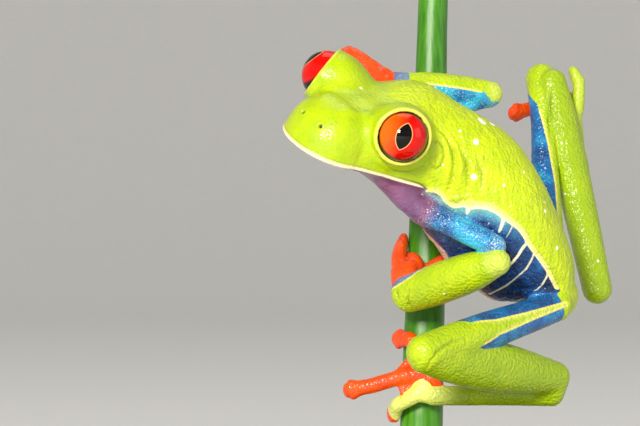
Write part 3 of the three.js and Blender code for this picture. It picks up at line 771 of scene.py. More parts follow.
def head_marks(p):
    q = in_head(p)
    q[:, 1] = np.abs(q[:, 1])
    over = q[:, 2] - np.interp(q[:, 0], *MOUTH_LINE.T)
    front = smoothstep(-6.6, -4.5, q[:, 0])
    lip = np.interp(q[:, 0], *LIP_HEIGHT.T)
    height, beside = by_the_lids(q)
    ring = band(np.hypot(beside - LID_OPENING - 0.22, height + 0.08), 0.23)
    # A painted shade line just above the pale lip: faint at the snout, strongest towards the mouth's corner.
    crease = np.exp(-(((over - lip - 0.05) / 0.1) ** 2))
    return {
        "green": np.where(over < lip, 4, 1) * (over - lip),
        "cream": np.maximum(np.minimum(band(over - lip / 2, lip / 2), front * 2 - 0.5), ring),
        "orange": -1,
        "belly": smoothstep(1.5, 5.5, q[:, 0]) * 2 - 1,
        "mauve": smoothstep(6.5, 4.5, q[:, 0]) * (1 - 0.3 * smoothstep(-7, -9, q[:, 0])),
        "bright": 0.3,
        "specks_and_glints": -0.5,
        "grain": 0.35,
        "painted_shade": crease * (0.25 + 0.65 * smoothstep(0, -5, q[:, 0])) * front,
    }


def trunk_distance(p):
    return PARTS["trunk"].measure(p)[0]


def on_trunk(pixels):
    return seen_at(pixels, trunk_distance)


class Flank:
    """The flank's lines, drawn on the trunk's left and repeated on its right."""

    def __init__(self):
        self.edge, self.foot = on_trunk(FLANK_EDGE), on_trunk(BELLY_EDGE)
        self.bars = [(on_trunk(points), top, foot) for points, top, foot in BARS]

    def marks(self, p, along, angle):
        trunk = PARTS["trunk"]
        left = trunk.place(along, -np.abs(angle))  # every point, carried to the left flank
        green, under = (
            side_of_line(left, line, unit(line - trunk.frame_at(*trunk.locate(line))[0]))
            for line in (self.edge, self.foot)
        )
        width = np.interp(along, [0.1, 0.3, 0.6, 1], [0.16, 0.36, 0.3, 0.2])
        cream = band(green + width, width)
        below = smoothstep(2.2, 0.1, -green)
        for line, top, foot in self.bars:
            far, share = to_line(left, line)
            cream = np.maximum(cream, band(far, top + (foot - top) * share**0.6))
        return {
            "green": green,
            "cream": cream,
            "orange": -1,
            "belly": -under,
            "mauve": smoothstep(0.25, -0.05, along),
            # Painted shade: the flank's blue is lightest just under the green edge and darkens to navy lower
            # down and towards the rump.
            "bright": 0.5 * smoothstep(2.6, 0.3, -green) * smoothstep(0.95, 0.3, along) + 0.02,
            "pale": 0.9 * below * smoothstep(0.7, 0.35, along) * smoothstep(0.3, -0.2, green),
            "specks_and_glints": 0.5 * smoothstep(0.4, 0.1, along) - 0.2,
            "creased": 1.0,
            "grain": 0.8,
        }


def limb_marks(name, p, along):
    kind = name.rsplit("_", 1)[0]
    green = green_side(name, p, along)
    marks = {"green": green, "orange": -1, "belly": -1, "cream": -1, "mauve": 0.0, "bright": 0.5,
             "grain": 1.0}
    if kind == "upper_arm":
        marks["mauve"] = smoothstep(0.22, 0.0, along)
        marks["bright"] = 0.2 + 0.25 * smoothstep(0.1, 0.6, along)
        # The upper arm is densely specked: whitish dots of its own with painted glints among them.
        marks["specks_and_glints"] = 0.55 + 0.75 * smoothstep(0.8, 1.0, along)
    elif kind == "forearm":
        marks["cream"] = np.minimum(band(green + 0.05, 0.12), (along - 0.15) * 5)
        marks["mauve"] = 0.6 * smoothstep(0.6, 1.0, along)
        marks["green"] = np.minimum(green, ((0.93 if name.endswith("right") else 1.08) - along) * 10)
        # A painted highlight: the forearm is paled at its elbow end.
        marks["pale"] = smoothstep(0.1, 0.0, along) * 0.4
        marks["specks_and_glints"] = 0.5
    elif kind == "thigh":
        marks["green"] = np.maximum(green, (0.03 - along) * 15)  # the hip takes the rump's green
        marks["bright"] = 0.3
        marks["cream"] = np.minimum(band(green - 0.04, 0.12), (0.72 - along) * 4)
        edge = smoothstep(0.6, 0.1, green) * smoothstep(-0.1, 0.05, green)
        marks["pale"] = 0.6 * edge * smoothstep(0.8, 0.5, along)
        marks["specks_and_glints"] = 0.1
    elif kind == "shank":
        marks["leg"] = 0.7
        marks["orange"] = -green * 0.5 - 0.5
    elif kind == "tarsus":
        marks["cream"] = band(green, 0.1)
        marks["pale"] = 0.6 * smoothstep(0.75, 1.0, along)
        marks["orange"] = -green - 0.2
        marks["leg"] = 0.6
    return marks


def end_marks(name, along, angle):
    """Hands, feet, digits and webs: orange, but for the green outer edge of the foot."""
    marks = {"green": -1.0, "orange": 1.0, "belly": -1, "cream": -1, "bright": 0.4, "mauve": 0.6,
             "grain": 0.6}
    right = 1.0 if "_right" in name else 0.0
    if name.startswith("hand"):
        marks["orange"] = (along - 0.35) * 3
    if name.startswith("foot"):
        marks["green"] = 1.2 * np.sin(angle) + (0.25 + 1.5 * right - along) * 2
        marks["orange"] = 1.0
        marks["pale"] = 0.8 - 0.6 * right
    if name.startswith("toe") and name.endswith("5"):
        marks["green"] = (0.74 + 0.3 * right - along) * 4
        marks["pale"] = 0.9 - 0.7 * right
    return marks


MARKS_BLEND = 0.12  # how softly one part's markings give way to the next part's


def paint(p):
    """The skin's markings at its vertices, each a field of its own."""
    flank = Flank()
    measured = measure_all(p)
    fleck_at = seen_at([fleck[:2] for fleck in FLECKS], skin_distance)
    nearest = np.array([m[0] for m in measured.values()])
    weight = np.exp(-(nearest - nearest.min(0)) / MARKS_BLEND)
    weight /= weight.sum(0)
    total = {field: np.zeros(len(p)) for field in FIELDS}
    for (name, (_, along, angle)), share in zip(measured.items(), weight):
        used = share > 1e-3
        if not used.any():
            continue
        at, t, turn = p[used], along[used], angle[used]
        if name == "head":
            marks = head_marks(at)
        elif name == "trunk":
            marks = flank.marks(at, t, turn)
        elif name == "throat":
            marks = {"green": -1, "orange": -1, "belly": -1, "cream": -1, "bright": 0.2,
                     "mauve": 1 - 0.3 * t, "specks_and_glints": -0.5, "grain": 0.5}
        elif name in GREEN_SIDE:
            marks = limb_marks(name, at, t)
        else:
            marks = end_marks(name, t, turn)
        for field, values in marks.items():
            total[field][used] += share[used] * np.clip(values, -3, 3)
    flecks = np.full(len(p), -1.0)
    for point, (_, _, radius) in zip(fleck_at, FLECKS):
        flecks = np.maximum(flecks, band(np.linalg.norm(p - point, axis=1), radius))
    total["fleck"] = flecks
    # Painted shade in the nostril's pit.
    nostril = np.linalg.norm(mirrored_head(p) - NOSTRIL, axis=1)
    total["painted_shade"] = np.maximum(total["painted_shade"], smoothstep(0.24, 0.12, nostril))
    # Painted shade along the hollows of the relief, such as the ring of the ear and the folds.
    for near, strength, lift in relief_lines(p):
        if lift < 0:
            total["painted_shade"][near] = np.maximum(total["painted_shade"][near], HOLLOW_SHADE * strength**2)
    # A painted highlight: a small white glint by the nostril, laid into the white flecks.
    glint = np.linalg.norm(in_head(p) - NOSTRIL_RIM, axis=1)
    total["fleck"] = np.maximum(total["fleck"], band(glint, 0.12))
    return total


# ------------------------------------------------------------------------ the fine relief
def mirrored_head(p):
    """Points in the head's frame, all carried to its left."""
    q = in_head(p)
    return q * [1, 0, 1] + np.abs(q) * [0, 1, 0]


NOSTRIL, NOSTRIL_RIM = mirrored_head(seen_at([(320.5, 126), (322.6, 126.6)], skin_distance))

# Ridges (+) and hollows (-) as the camera sees them: [the part that bears them, points, half
# width, height]. Those of the head and trunk are repeated on the other side.
RELIEF = [
    ("head", [(336, 112), (350, 111), (366, 114), (377, 121)], 0.5, 0.14),  # eye to nostril
    ("head", [(382, 163), (394, 169), (408, 170), (420, 165), (427, 157)], 0.35, 0.14),  # under the lids
    ("head", [(377, 152), (384, 164), (396, 171), (410, 172), (422, 167)], 0.16, -0.16),
    ("head", [(429, 159), (429.5, 150), (433, 142), (438, 141), (443, 148), (444, 158), (441, 166),
              (436, 169.5), (431, 166), (429, 159)], 0.14, -0.14),  # the ring of the ear
    ("head", [(432, 158), (433, 149), (438, 145), (441, 150), (441, 158), (438, 165), (434, 165),
              (432, 158)], 0.3, 0.12),  # and the ridge inside it
    ("head", [(424, 122), (433, 128), (442, 136), (448, 147), (449, 160), (448, 174), (445, 187)],
     0.3, 0.26),
    ("trunk", [(440, 131), (448, 140), (453, 151), (455, 164), (453, 178), (448, 191)], 0.24, -0.28),
    ("trunk", [(452, 140), (459, 151), (461, 165), (459, 180), (455, 192)], 0.32, 0.24),
    ("trunk", [(461, 150), (467, 163), (468, 178), (466, 193)], 0.24, -0.22),
    ("trunk", [(470, 158), (474, 170), (474, 190)], 0.3, 0.14),
    ("trunk", [(478, 160), (482, 174), (481, 192)], 0.24, -0.14),
    ("left", [(428, 193), (433, 190), (439, 193), (444, 199)], 0.5, 0.3),  # the roll before the armpit
    ("left", [(448, 197), (455, 199), (463, 197)], 0.4, 0.25),
    ("left", [(427, 203), (438, 204), (449, 208), (460, 213), (469, 219)], 0.2, -0.2),
    ("left", [(425, 371), (430, 362), (437, 353), (445, 346), (454, 341), (466, 339)], 0.2, -0.2),  # knee
    ("left", [(409, 290), (407.5, 298), (410, 306), (416, 310)], 0.16, -0.2),  # wrist
    ("left", [(396, 288), (397, 295), (401, 303)], 0.16, -0.16),
    ("right", [(551, 88), (549, 100), (549, 121), (551, 143)], 0.2, -0.2),  # knee
]
GRANULES = [(0.5, 0.018), (0.32, 0.014)]  # [size, height] of the grain that shows in the outline
WRINKLE, WRINKLE_HEIGHT = [0.5, 0.5, 1.9], 0.06  # of the back's fine upright wrinkles
HOLLOW_SHADE = 0.4  # how dark the bottom of a hollow is


def normals_of(p, quads):
    a, b, c, d = (p[quads[:, k]] for k in range(4))
    face = np.cross(c - a, d - b)
    out = np.stack([sum(np.bincount(quads[:, k], face[:, axis], len(p)) for k in range(4))
                    for axis in range(3)], 1)
    return unit(out)


def relief_lines(p):
    """For each line of RELIEF, which points lie near it, how strongly it acts on them, and its
    height."""
    trunk = PARTS["trunk"]
    f, along, angle = trunk.measure(p)
    flank = trunk.place(along, -np.abs(angle))
    flank[f > 1.2] = 1e3
    carried = {"left": p, "right": p, "head": mirrored_head(p), "trunk": flank}
    for part, pixels, width, lift in RELIEF:
        line = seen_at(pixels, skin_distance)
        if part == "head":
            line = mirrored_head(line)
        if part == "trunk":
            _, s, turn = trunk.measure(line)
            line = trunk.place(s, turn)
        points = carried[part]
        near = np.all((points > line.min(0) - 3 * width) & (points < line.max(0) + 3 * width), axis=1)
        far, share = to_line(points[near], line)
        fade = np.sin(np.pi * np.clip(share, 0.06, 0.94)) ** 0.5
        yield near, np.exp(-((far / width) ** 2)) * fade, lift


def fine_relief(p, quads):
    """The skin's points moved out and in along its normals for the folds and the grain."""
    height = np.zeros(len(p))
    for size, lift in GRANULES:
        height += lift * np.array([noise.noise(v) for v in (p / size).tolist()])
    height *= 0.4 + 0.6 * smoothstep(0.0, 1.5, PARTS["head"].measure(p)[0])
    folded = np.array([noise.noise(v) for v in (p / WRINKLE).tolist()])
    height += WRINKLE_HEIGHT * folded * smoothstep(1.2, 0.2, trunk_distance(p))
    for near, strength, lift in relief_lines(p):
        height[near] += lift * strength

    # The fold round the lids, and the nostril.
    q = mirrored_head(p)
    over_lids, beside = by_the_lids(q)
    height -= 0.16 * np.exp(-(((beside - LID_OPENING - 0.8) / 0.18) ** 2) - (over_lids / 1.2) ** 2)
    hole = np.linalg.norm(q - NOSTRIL, axis=1)
    height += 0.1 * np.exp(-(((hole - 0.35) / 0.15) ** 2)) - 0.4 * np.exp(-((hole / 0.2) ** 2))
    return p + height[:, None] * normals_of(p, quads)


# ---------------------------------------------------------------------------- materials
def linear(hex_colour):
    """A colour given as sRGB hex, as the linear values that shaders take."""
    channels = [int(hex_colour[i : i + 2], 16) / 255 for i in (1, 3, 5)]
    return [c / 12.92 if c <= 0.04045 else ((c + 0.055) / 1.055) ** 2.4 for c in channels] + [1]


def add(tree, kind, settings=None, links=None):
    """One node. Names in capitals and numbers are its sockets, other names its settings."""
    node = tree.nodes.new("ShaderNode" + kind)
    for key, value in (settings or {}).items():
        if isinstance(key, int) or key[0].isupper():
            node.inputs[key].default_value = value
        else:
            setattr(node, key, value)
    for key, socket in (links or {}).items():
        tree.links.new(socket, node.inputs[key])
    return node


def new_material(name):
    material = bpy.data.materials.new(name)
    material.use_nodes = True
    material.node_tree.nodes.clear()
    return material, material.node_tree


def moist_frog_skin():
    """Live amphibian skin: thin, finely grained and wet, so its gloss breaks up into glints."""
    material, tree = new_material("moist frog skin")
    place = add(tree, "TexCoord").outputs["Object"]
    granule_size, speck_size, blotch_size, wrinkle_width = 0.32 * MM, 0.13 * MM, 2.2 * MM, 0.4 * MM
    granules = add(tree, "TexVoronoi", {"feature": "SMOOTH_F1", "Scale": 1 / granule_size,
                                        "Smoothness": 0.5}, {"Vector": place}).outputs["Distance"]
    speck = add(tree, "TexNoise", {"Scale": 1 / speck_size, "Detail": 1}, {"Vector": place}).outputs["Fac"]
    blotch = add(tree, "TexNoise", {"Scale": 1 / blotch_size, "Detail": 5}, {"Vector": place}).outputs["Fac"]
    tall = add(tree, "Mapping", {"Scale": (1, 1, 0.28)}, {"Vector": place}).outputs["Vector"]
    wrinkle = add(tree, "TexNoise", {"Scale": 1 / wrinkle_width, "Detail": 3, "Distortion": 0.6},
                  {"Vector": tall}).outputs["Fac"]

    field = {name: add(tree, "Attribute", {"attribute_name": name}).outputs["Fac"] for name in FIELDS}

    # The blues, from deep navy to the turquoise of the arms, broken by blotches and by pale specks that are
    # partly the skin's own whitish dots and partly painted glints of its wet granules.
    depth = add(tree, "Math", {"operation": "MULTIPLY_ADD", 1: 0.9},
                {0: blotch, 2: field["bright"]}).outputs[0]
    blues = add(tree, "ValToRGB", None, {"Fac": depth})
    ramp = blues.color_ramp.elements
    ramp[0].position, ramp[0].color = 0.35, linear("#03183c")
    ramp[1].position, ramp[1].color = 1.0, linear("#1fb0d8")
    ramp.new(0.6).color = linear("#08407c")
    ramp.new(0.8).color = linear("#0e6cb0")
    blue = blues.outputs["Color"]
    blue = add(tree, "Mix", {"data_type": "RGBA", 7: linear("#7ab090")},
               {0: field["pale"], 6: blue}).outputs[2]
    mauve = add(tree, "Mix", {"data_type": "RGBA", 6: linear("#5c2c48"), 7: linear("#9a6088")},
                {0: blotch}).outputs[2]
    colour = add(tree, "Mix", {"data_type": "RGBA"}, {0: field["mauve"], 6: blue, 7: mauve}).outputs[2]
    # Pale specks: partly the skin's own whitish dots, partly painted glints of the wet granules.
    speck_and_glint_cover = add(tree, "Math", {"operation": "MULTIPLY_ADD", 1: 0.16},
                 {0: field["specks_and_glints"], 2: speck}).outputs[0]
    speck_and_glint_cover = add(tree, "MapRange", {"From Min": 0.64, "From Max": 0.84, "To Max": 0.8},
                 {"Value": speck_and_glint_cover}).outputs["Result"]
    colour = add(tree, "Mix", {"data_type": "RGBA", 7: linear("#b4d8e8")}, {0: speck_and_glint_cover, 6: colour}).outputs[2]

    # The greens: painted shade in the wrinkles of the back and painted light on their crests, varied at
    # random by blotches.
    crease = add(tree, "Math", {"operation": "MULTIPLY"}, {0: wrinkle, 1: field["creased"]}).outputs[0]
    tone_and_wrinkle_shade = add(tree, "Math", {"operation": "MULTIPLY_ADD", 1: 0.6}, {0: crease, 2: blotch}).outputs[0]
    tone_and_wrinkle_shade = add(tree, "MapRange", {"From Min": 0.3, "From Max": 1.0}, {"Value": tone_and_wrinkle_shade}).outputs["Result"]
    green = add(tree, "Mix", {"data_type": "RGBA", 6: linear("#a2c200"), 7: linear("#cce004")},
                {0: tone_and_wrinkle_shade}).outputs[2]
    leg = add(tree, "Mix", {"data_type": "RGBA", 6: linear("#86a806"), 7: linear("#a2c00c")},
              {0: blotch}).outputs[2]
    green = add(tree, "Mix", {"data_type": "RGBA"}, {0: field["leg"], 6: green, 7: leg}).outputs[2]
    green = add(tree, "Mix", {"data_type": "RGBA", 7: linear("#dce478")},
                {0: field["pale"], 6: green}).outputs[2]
    orange = add(tree, "Mix", {"data_type": "RGBA", 6: linear("#dc2402"), 7: linear("#ff6408")},
                 {0: blotch}).outputs[2]
    by_green = add(tree, "MapRange", {"From Min": -0.7, "From Max": -0.1}, {"Value": field["green"]})
    cream = add(tree, "Mix", {"data_type": "RGBA", 6: linear("#f4f0cc"), 7: linear("#f0e468")},
                {0: by_green.outputs["Result"]}).outputs[2]

    # The layers over the blue, in the order that they cover each other: the field whose zero
    # is the layer's edge, half the edge's softness and how far the grain shifts it, in mm.
    for name, paint_colour, soft, shift in (
        ("belly", linear("#ecc8ac"), 0.25, 0.3),
        ("orange", orange, 0.15, 0.3),
        ("green", green, 0.07, 0.16),
        ("cream", cream, 0.05, 0.06),
        # The white flecks, with the painted highlight by the nostril among them.
        ("fleck", linear("#fffdf4"), 0.03, 0.03),
    ):
        moved = add(tree, "Math", {"operation": "MULTIPLY_ADD", 1: shift},
                    {0: wrinkle, 2: field[name]}).outputs[0]
        cover = add(tree, "MapRange", {"From Min": shift / 2 - soft, "From Max": shift / 2 + soft},
                    {"Value": moved}).outputs["Result"]
        settings, links = {"data_type": "RGBA"}, {0: cover, 6: colour}
        if isinstance(paint_colour, list):
            settings[7] = paint_colour
        else:
            links[7] = paint_colour
        colour = add(tree, "Mix", settings, links).outputs[2]
    # Painted shade: the hollows of the relief, the nostril's pit and the lip's crease are darkened towards a
    # near-black green.
    colour = add(tree, "Mix", {"data_type": "RGBA", 7: linear("#16200a")},
                 {0: field["painted_shade"], 6: colour}).outputs[2]

    rough = add(tree, "MapRange", {"To Min": 0.3, "To Max": 0.5}, {"Value": speck}).outputs["Result"]
    granules = add(tree, "Math", {"operation": "MULTIPLY"}, {0: granules, 1: field["grain"]}).outputs[0]
    beads = add(tree, "Bump", {"invert": True, "Strength": 1.0, "Distance": 0.12 * MM}, {"Height": granules})
    folds = add(tree, "Bump", {"Strength": 0.9, "Distance": 0.16 * MM},
                {"Height": crease, "Normal": beads.outputs["Normal"]}).outputs["Normal"]
    shader = add(tree, "BsdfPrincipled",
                 {"IOR": 1.4, "Subsurface Weight": 0.08, "Subsurface Scale": 0.3 * MM,
                  "Coat Weight": 0.3, "Coat Roughness": 0.12},
                 {"Base Color": colour, "Roughness": rough, "Normal": folds, "Coat Normal": folds})
    add(tree, "OutputMaterial", None, {"Surface": shader.outputs[0]})
    return material


def wet_red_eye():
    """A frog's eye behind its clear wet cornea: a red iris of fine radial fibres, a slit pupil
    edged in gold, and a black rim where it meets the lids, partly its own dark limbus and partly painted
    shade in the gap under the lids."""
    material, tree = new_material("wet red eye")
    gaze = add(tree, "Attribute", {"attribute_name": "gaze"}).outputs["Vector"]
    flat = add(tree, "VectorMath", {"operation": "MULTIPLY", 1: (1, 1, 0)}, {0: gaze}).outputs[0]
    radius = add(tree, "VectorMath", {"operation": "LENGTH"}, {0: flat}).outputs["Value"]

    # The pupil is where two circles overlap, which gives the slit its pointed ends.
    half_width, half_length = 0.77, 1.38
    bend = (half_length**2 + half_width**2) / (2 * half_width)
    sides = []
    for sign in (1, -1):
        centre = (sign * (bend - half_width), 0, 0)
        away = add(tree, "VectorMath", {"operation": "DISTANCE", 1: centre}, {0: flat})
        sides.append(away.outputs["Value"])
    farther = add(tree, "Math", {"operation": "MAXIMUM"}, {0: sides[0], 1: sides[1]}).outputs[0]
    pupil = add(tree, "Math", {"operation": "SUBTRACT", 0: bend}, {1: farther}).outputs[0]

    fibre = add(tree, "VectorMath", {"operation": "NORMALIZE"}, {0: flat}).outputs[0]
    fibres = add(tree, "TexNoise", {"Scale": 14, "Detail": 4}, {"Vector": fibre}).outputs["Fac"]
    cloud = add(tree, "TexNoise", {"Scale": 0.55, "Detail": 3}, {"Vector": gaze}).outputs["Fac"]
    split = add(tree, "SeparateXYZ", None, {0: gaze}).outputs
    front = add(tree, "Math", {"operation": "MULTIPLY_ADD", 1: 0.8}, {0: cloud, 2: split[0]}).outputs[0]
    glow = add(tree, "MapRange", {"From Min": 0.3, "From Max": 2.2, "To Max": 0.9},
               {"Value": front}).outputs["Result"]
    red = add(tree, "Mix", {"data_type": "RGBA", 6: linear("#b40604"), 7: linear("#ec1004")},
              {0: fibres}).outputs[2]
    colour = add(tree, "Mix", {"data_type": "RGBA", 7: linear("#f26a0c")}, {0: glow, 6: red}).outputs[2]
    black = linear("#060304")
    for value, low, high, hex_or_black in (
        # The black rim: the dark limbus, with painted shade of the gap under the lids.
        (radius, 2.26, 2.42, black),
        (pupil, -0.11, -0.06, linear("#f4b070")),
        (pupil, -0.03, 0.02, black),
    ):
        cover = add(tree, "MapRange", {"From Min": low, "From Max": high},
                    {"Value": value}).outputs["Result"]
        colour = add(tree, "Mix", {"data_type": "RGBA", 7: hex_or_black}, {0: cover, 6: colour}).outputs[2]
    shader = add(tree, "BsdfPrincipled",
                 {"Roughness": 0.5, "Specular IOR Level": 0.0,
                  "Coat Weight": 1.0, "Coat IOR": 1.38, "Coat Roughness": 0.03},
                 {"Base Color": colour})
    add(tree, "OutputMaterial", None, {"Surface": shader.outputs[0]})
    return material


def fresh_plant_stem():
    """A living green stem: waxy, with fine fibres running up it."""
    material, tree = new_material("fresh plant stem")
    place = add(tree, "TexCoord").outputs["Object"]
    fibre_width = 0.35 * MM
    tall = add(tree, "Mapping", {"Scale": (1, 1, 0.04)}, {"Vector": place}).outputs["Vector"]
    fibres = add(tree, "TexNoise", {"Scale": 1 / fibre_width, "Detail": 3}, {"Vector": tall}).outputs["Fac"]
    patch = add(tree, "TexNoise", {"Scale": 1 / (6 * MM), "Detail": 3}, {"Vector": place}).outputs["Fac"]
    blend = add(tree, "Math", {"operation": "MULTIPLY"}, {0: fibres, 1: patch}).outputs[0]
    share = add(tree, "MapRange", {"From Min": 0.1, "From Max": 0.45}, {"Value": blend}).outputs["Result"]
    mixed = add(tree, "Mix", {"data_type": "RGBA", 6: linear("#26640a"), 7: linear("#56a21a")},
                {0: share}).outputs[2]
    cut = add(tree, "Attribute", {"attribute_name": "cut"}).outputs["Fac"]
    mixed = add(tree, "Mix", {"data_type": "RGBA", 7: linear("#c2c88a")}, {0: cut, 6: mixed}).outputs[2]
    bump = add(tree, "Bump", {"Strength": 0.4, "Distance": 0.06 * MM}, {"Height": fibres})
    shader = add(tree, "BsdfPrincipled", {"Roughness": 0.38, "IOR": 1.45, "Subsurface Weight": 0.08,
                                          "Subsurface Scale": 0.5 * MM},
                 {"Base Color": mixed, "Normal": bump.outputs["Normal"]})
    add(tree, "OutputMaterial", None, {"Surface": shader.outputs[0]})
    return material


def stained_walnut():
    """Turned hardwood, stained dark and oiled to a satin finish: rings cut across by the turning."""
    material, tree = new_material("stained walnut, oiled")
    place = add(tree, "TexCoord").outputs["Object"]
    ring_width, pore_length = 2.4 * MM, 0.25
    long_grain = add(tree, "Mapping", {"Scale": (pore_length, 1, 1)}, {"Vector": place}).outputs["Vector"]
    rings = add(tree, "TexWave", {"Scale": 0.3 / ring_width, "Distortion": 5, "Detail": 3,
                                  "Detail Scale": 1.5, "bands_direction": "Y"},
                {"Vector": long_grain}).outputs["Fac"]
    pores = add(tree, "TexNoise", {"Scale": 1 / (0.5 * MM), "Detail": 4},
                {"Vector": long_grain}).outputs["Fac"]
    wood = add(tree, "Mix", {"data_type": "RGBA", 6: linear("#2a170c"), 7: linear("#5a3820")},
               {0: rings}).outputs[2]
    wood = add(tree, "Mix", {"data_type": "RGBA", "blend_type": "MULTIPLY", 0: 0.5},
               {6: wood, 7: pores}).outputs[2]
    bump = add(tree, "Bump", {"Strength": 0.2, "Distance": 0.05 * MM}, {"Height": pores})
    shader = add(tree, "BsdfPrincipled", {"Roughness": 0.38, "IOR": 1.5},
                 {"Base Color": wood, "Normal": bump.outputs["Normal"]})
    add(tree, "OutputMaterial", None, {"Surface": shader.outputs[0]})
    return material


def brushed_steel():
    """A stainless rod, brushed round its length by the lathe."""
    material, tree = new_material("brushed stainless steel")
    place = add(tree, "TexCoord").outputs["Object"]
    rings = add(tree, "Mapping", {"Scale": (0.05, 0.05, 1)}, {"Vector": place}).outputs["Vector"]
    lines = add(tree, "TexNoise", {"Scale": 1 / (0.15 * MM), "Detail": 2}, {"Vector": rings}).outputs["Fac"]
    rough = add(tree, "MapRange", {"To Min": 0.22, "To Max": 0.42}, {"Value": lines}).outputs["Result"]
    shader = add(tree, "BsdfPrincipled", {"Metallic": 1.0, "Base Color": linear("#c8cacc")},
                 {"Roughness": rough})
    add(tree, "OutputMaterial", None, {"Surface": shader.outputs[0]})
    return material


def studio_paper():
    """Matt pale paper under and round the model, lit from behind as in a light tent."""
    material, tree = new_material("matt studio paper")
    place = add(tree, "TexCoord").outputs["Object"]
    fibre = add(tree, "TexNoise", {"Scale": 1 / (3 * MM), "Detail": 3}, {"Vector": place}).outputs["Fac"]
    colour = add(tree, "Mix", {"data_type": "RGBA", 6: linear("#dcdbd8"), 7: linear("#e2e1de")},
                 {0: fibre}).outputs[2]
    shader = add(tree, "BsdfPrincipled", {"Roughness": 0.9, "Emission Color": linear("#f4f3f0"),
                                          "Emission Strength": 0.15}, {"Base Color": colour})
    add(tree, "OutputMaterial", None, {"Surface": shader.outputs[0]})
    return material


# ------------------------------------------------------------------------------- pieces
def ring_faces(sides, rings):
    """The faces over a first point, then rings of `sides` points each, then a last point."""
    faces = []
    for j in range(sides):
        k = (j + 1) % sides
        faces.append((0, 1 + k, 1 + j))
        for i in range(rings - 1):
            a, b = 1 + i * sides, 1 + (i + 1) * sides
            faces.append((a + j, a + k, b + k, b + j))
        last = 1 + (rings - 1) * sides
        faces.append((last + j, last + k, last + sides))
    return faces


def turn_profile(name, profile, sides, centre=(0, 0)):
    """A closed turned piece: a profile of (radius, height) from axis to axis, spun round."""
    profile = np.array(profile, float)
    angles = np.linspace(0, 2 * np.pi, sides, endpoint=False)
    vertices = [[*centre, profile[0][1]]]
    for radius, height in profile[1:-1]:
        ring = np.stack([centre[0] + radius * np.cos(angles), centre[1] + radius * np.sin(angles),
                         np.full(sides, height)], 1)
        vertices.extend(ring.tolist())
    vertices.append([*centre, profile[-1][1]])
    return add_mesh(name, vertices, ring_faces(sides, len(profile) - 2))


def finish_piece(piece, material, slot, *nodes):
    piece.data.materials.append(material)
    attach(piece, "root")
    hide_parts(*nodes)


def make_skin():
    vertices, quads = draw_net(skin_distance, SKIN_LOW, SKIN_HIGH)
    fields = paint(vertices)
    skin = add_mesh("frog_skin", fine_relief(vertices, quads), quads, fields)
    kept = ("eye_", "perch_", "stand_")
    flesh = [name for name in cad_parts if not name.startswith(kept)]
    finish_piece(skin, moist_frog_skin(), "skin", *flesh)


# Which way the eyes look and their slits stand, in the head's frame.
GAZE = {1: [0.66, 0.67, 0.34], -1: [0.64, -0.6, 0.47]}
SLIT_WAY = [-0.213, -0.265, 0.941]


def make_eye(name, side, material):
    """An eyeball, finely netted, that knows each point's place across and along its pupil."""
    centre = from_head([0, side * EYE_SPREAD, 0])
    way = unit(np.asarray(GAZE[side]) @ HEAD_TURN)
    along = (np.asarray(SLIT_WAY) * [1, side, 1]) @ HEAD_TURN
    along = unit(along - (along @ way) * way)
    across = np.cross(along, way)
    angles = np.linspace(-np.pi / 2, np.pi / 2, 65)
    sides = 96
    turn = np.linspace(0, 2 * np.pi, sides, endpoint=False)
    local = [[0, 0, -EYE_RADIUS]]
    for a in angles[1:-1]:
        height = np.full(sides, np.sin(a))
        ring = np.stack([np.cos(a) * np.cos(turn), np.cos(a) * np.sin(turn), height], 1)
        local.extend((EYE_RADIUS * ring).tolist())
    local.append([0, 0, EYE_RADIUS])
    local = np.array(local)
    vertices = centre + local @ np.stack([across, along, way])
    eye = add_mesh(name, vertices, ring_faces(sides, len(angles) - 2))
    gaze = eye.data.attributes.new("gaze", "FLOAT_VECTOR", "POINT")
    gaze.data.foreach_set("vector", (local * [-1, 1, 1]).astype(np.float32).ravel())
    finish_piece(eye, material, "eye", name)


STEM_CLEARANCE = 0.02  # so that the stem's ribs stay inside its solid
STEM_BEVEL = 0.12


def make_stem():
    """The stem, faintly ribbed, with two pale cut ends that are slightly dished."""
    rows = np.array(STEM_ROWS)
    between = np.linspace(STEM_FOOT + STEM_BEVEL, STEM_HEAD - STEM_BEVEL, 140)
    heights = [STEM_FOOT, *between, STEM_HEAD]
    sides = 72
    angles = np.linspace(0, 2 * np.pi, sides, endpoint=False)
    dish = 0.18
    ends = ((0.35, dish), (0.7, dish * 0.9), (0.9, dish * 0.3), (0.965, 0.0))
    rings = [(STEM_FOOT + depth, shrink, 1.0) for shrink, depth in ends]
    rings += [(height, 0.985 if height in (STEM_FOOT, STEM_HEAD) else 1.0, 0.0) for height in heights]
    rings += [(STEM_HEAD - depth, shrink, 1.0) for shrink, depth in reversed(ends)]
    vertices, cut = [[rows[0, 0], rows[0, 1], STEM_FOOT + dish]], [1.0]
    for height, shrink, is_cut in rings:
        x, y, r = (np.interp(height, rows[:, 2], rows[:, k]) for k in (0, 1, 3))
        rib = 1 + 0.008 * np.cos(9 * angles) + 0.006 * np.sin(5 * angles + height * 0.2)
        radius = (r - STEM_CLEARANCE) * rib * shrink
        ring = [x + radius * np.cos(angles), y + radius * np.sin(angles), np.full(sides, height)]
        vertices.extend(np.stack(ring, 1).tolist())
        cut.extend([is_cut] * sides)
    vertices.append([rows[-1, 0], rows[-1, 1], STEM_HEAD - dish])
    cut.append(1.0)
    stem = add_mesh("plant_stem", vertices, ring_faces(sides, len(rings)), {"cut": cut})
    finish_piece(stem, fresh_plant_stem(), "plant_stem", "perch_stem")


BASE_RADIUS, BASE_HEIGHT, ROD_RADIUS, ROD_GAP = 27.0, 4.0, 1.1, 0.1


def arc(centre, radius, start, end, steps):
    angles = np.radians(np.linspace(start, end, steps))
    return [(centre[0] + radius * math.cos(a), centre[1] + radius * math.sin(a)) for a in angles]


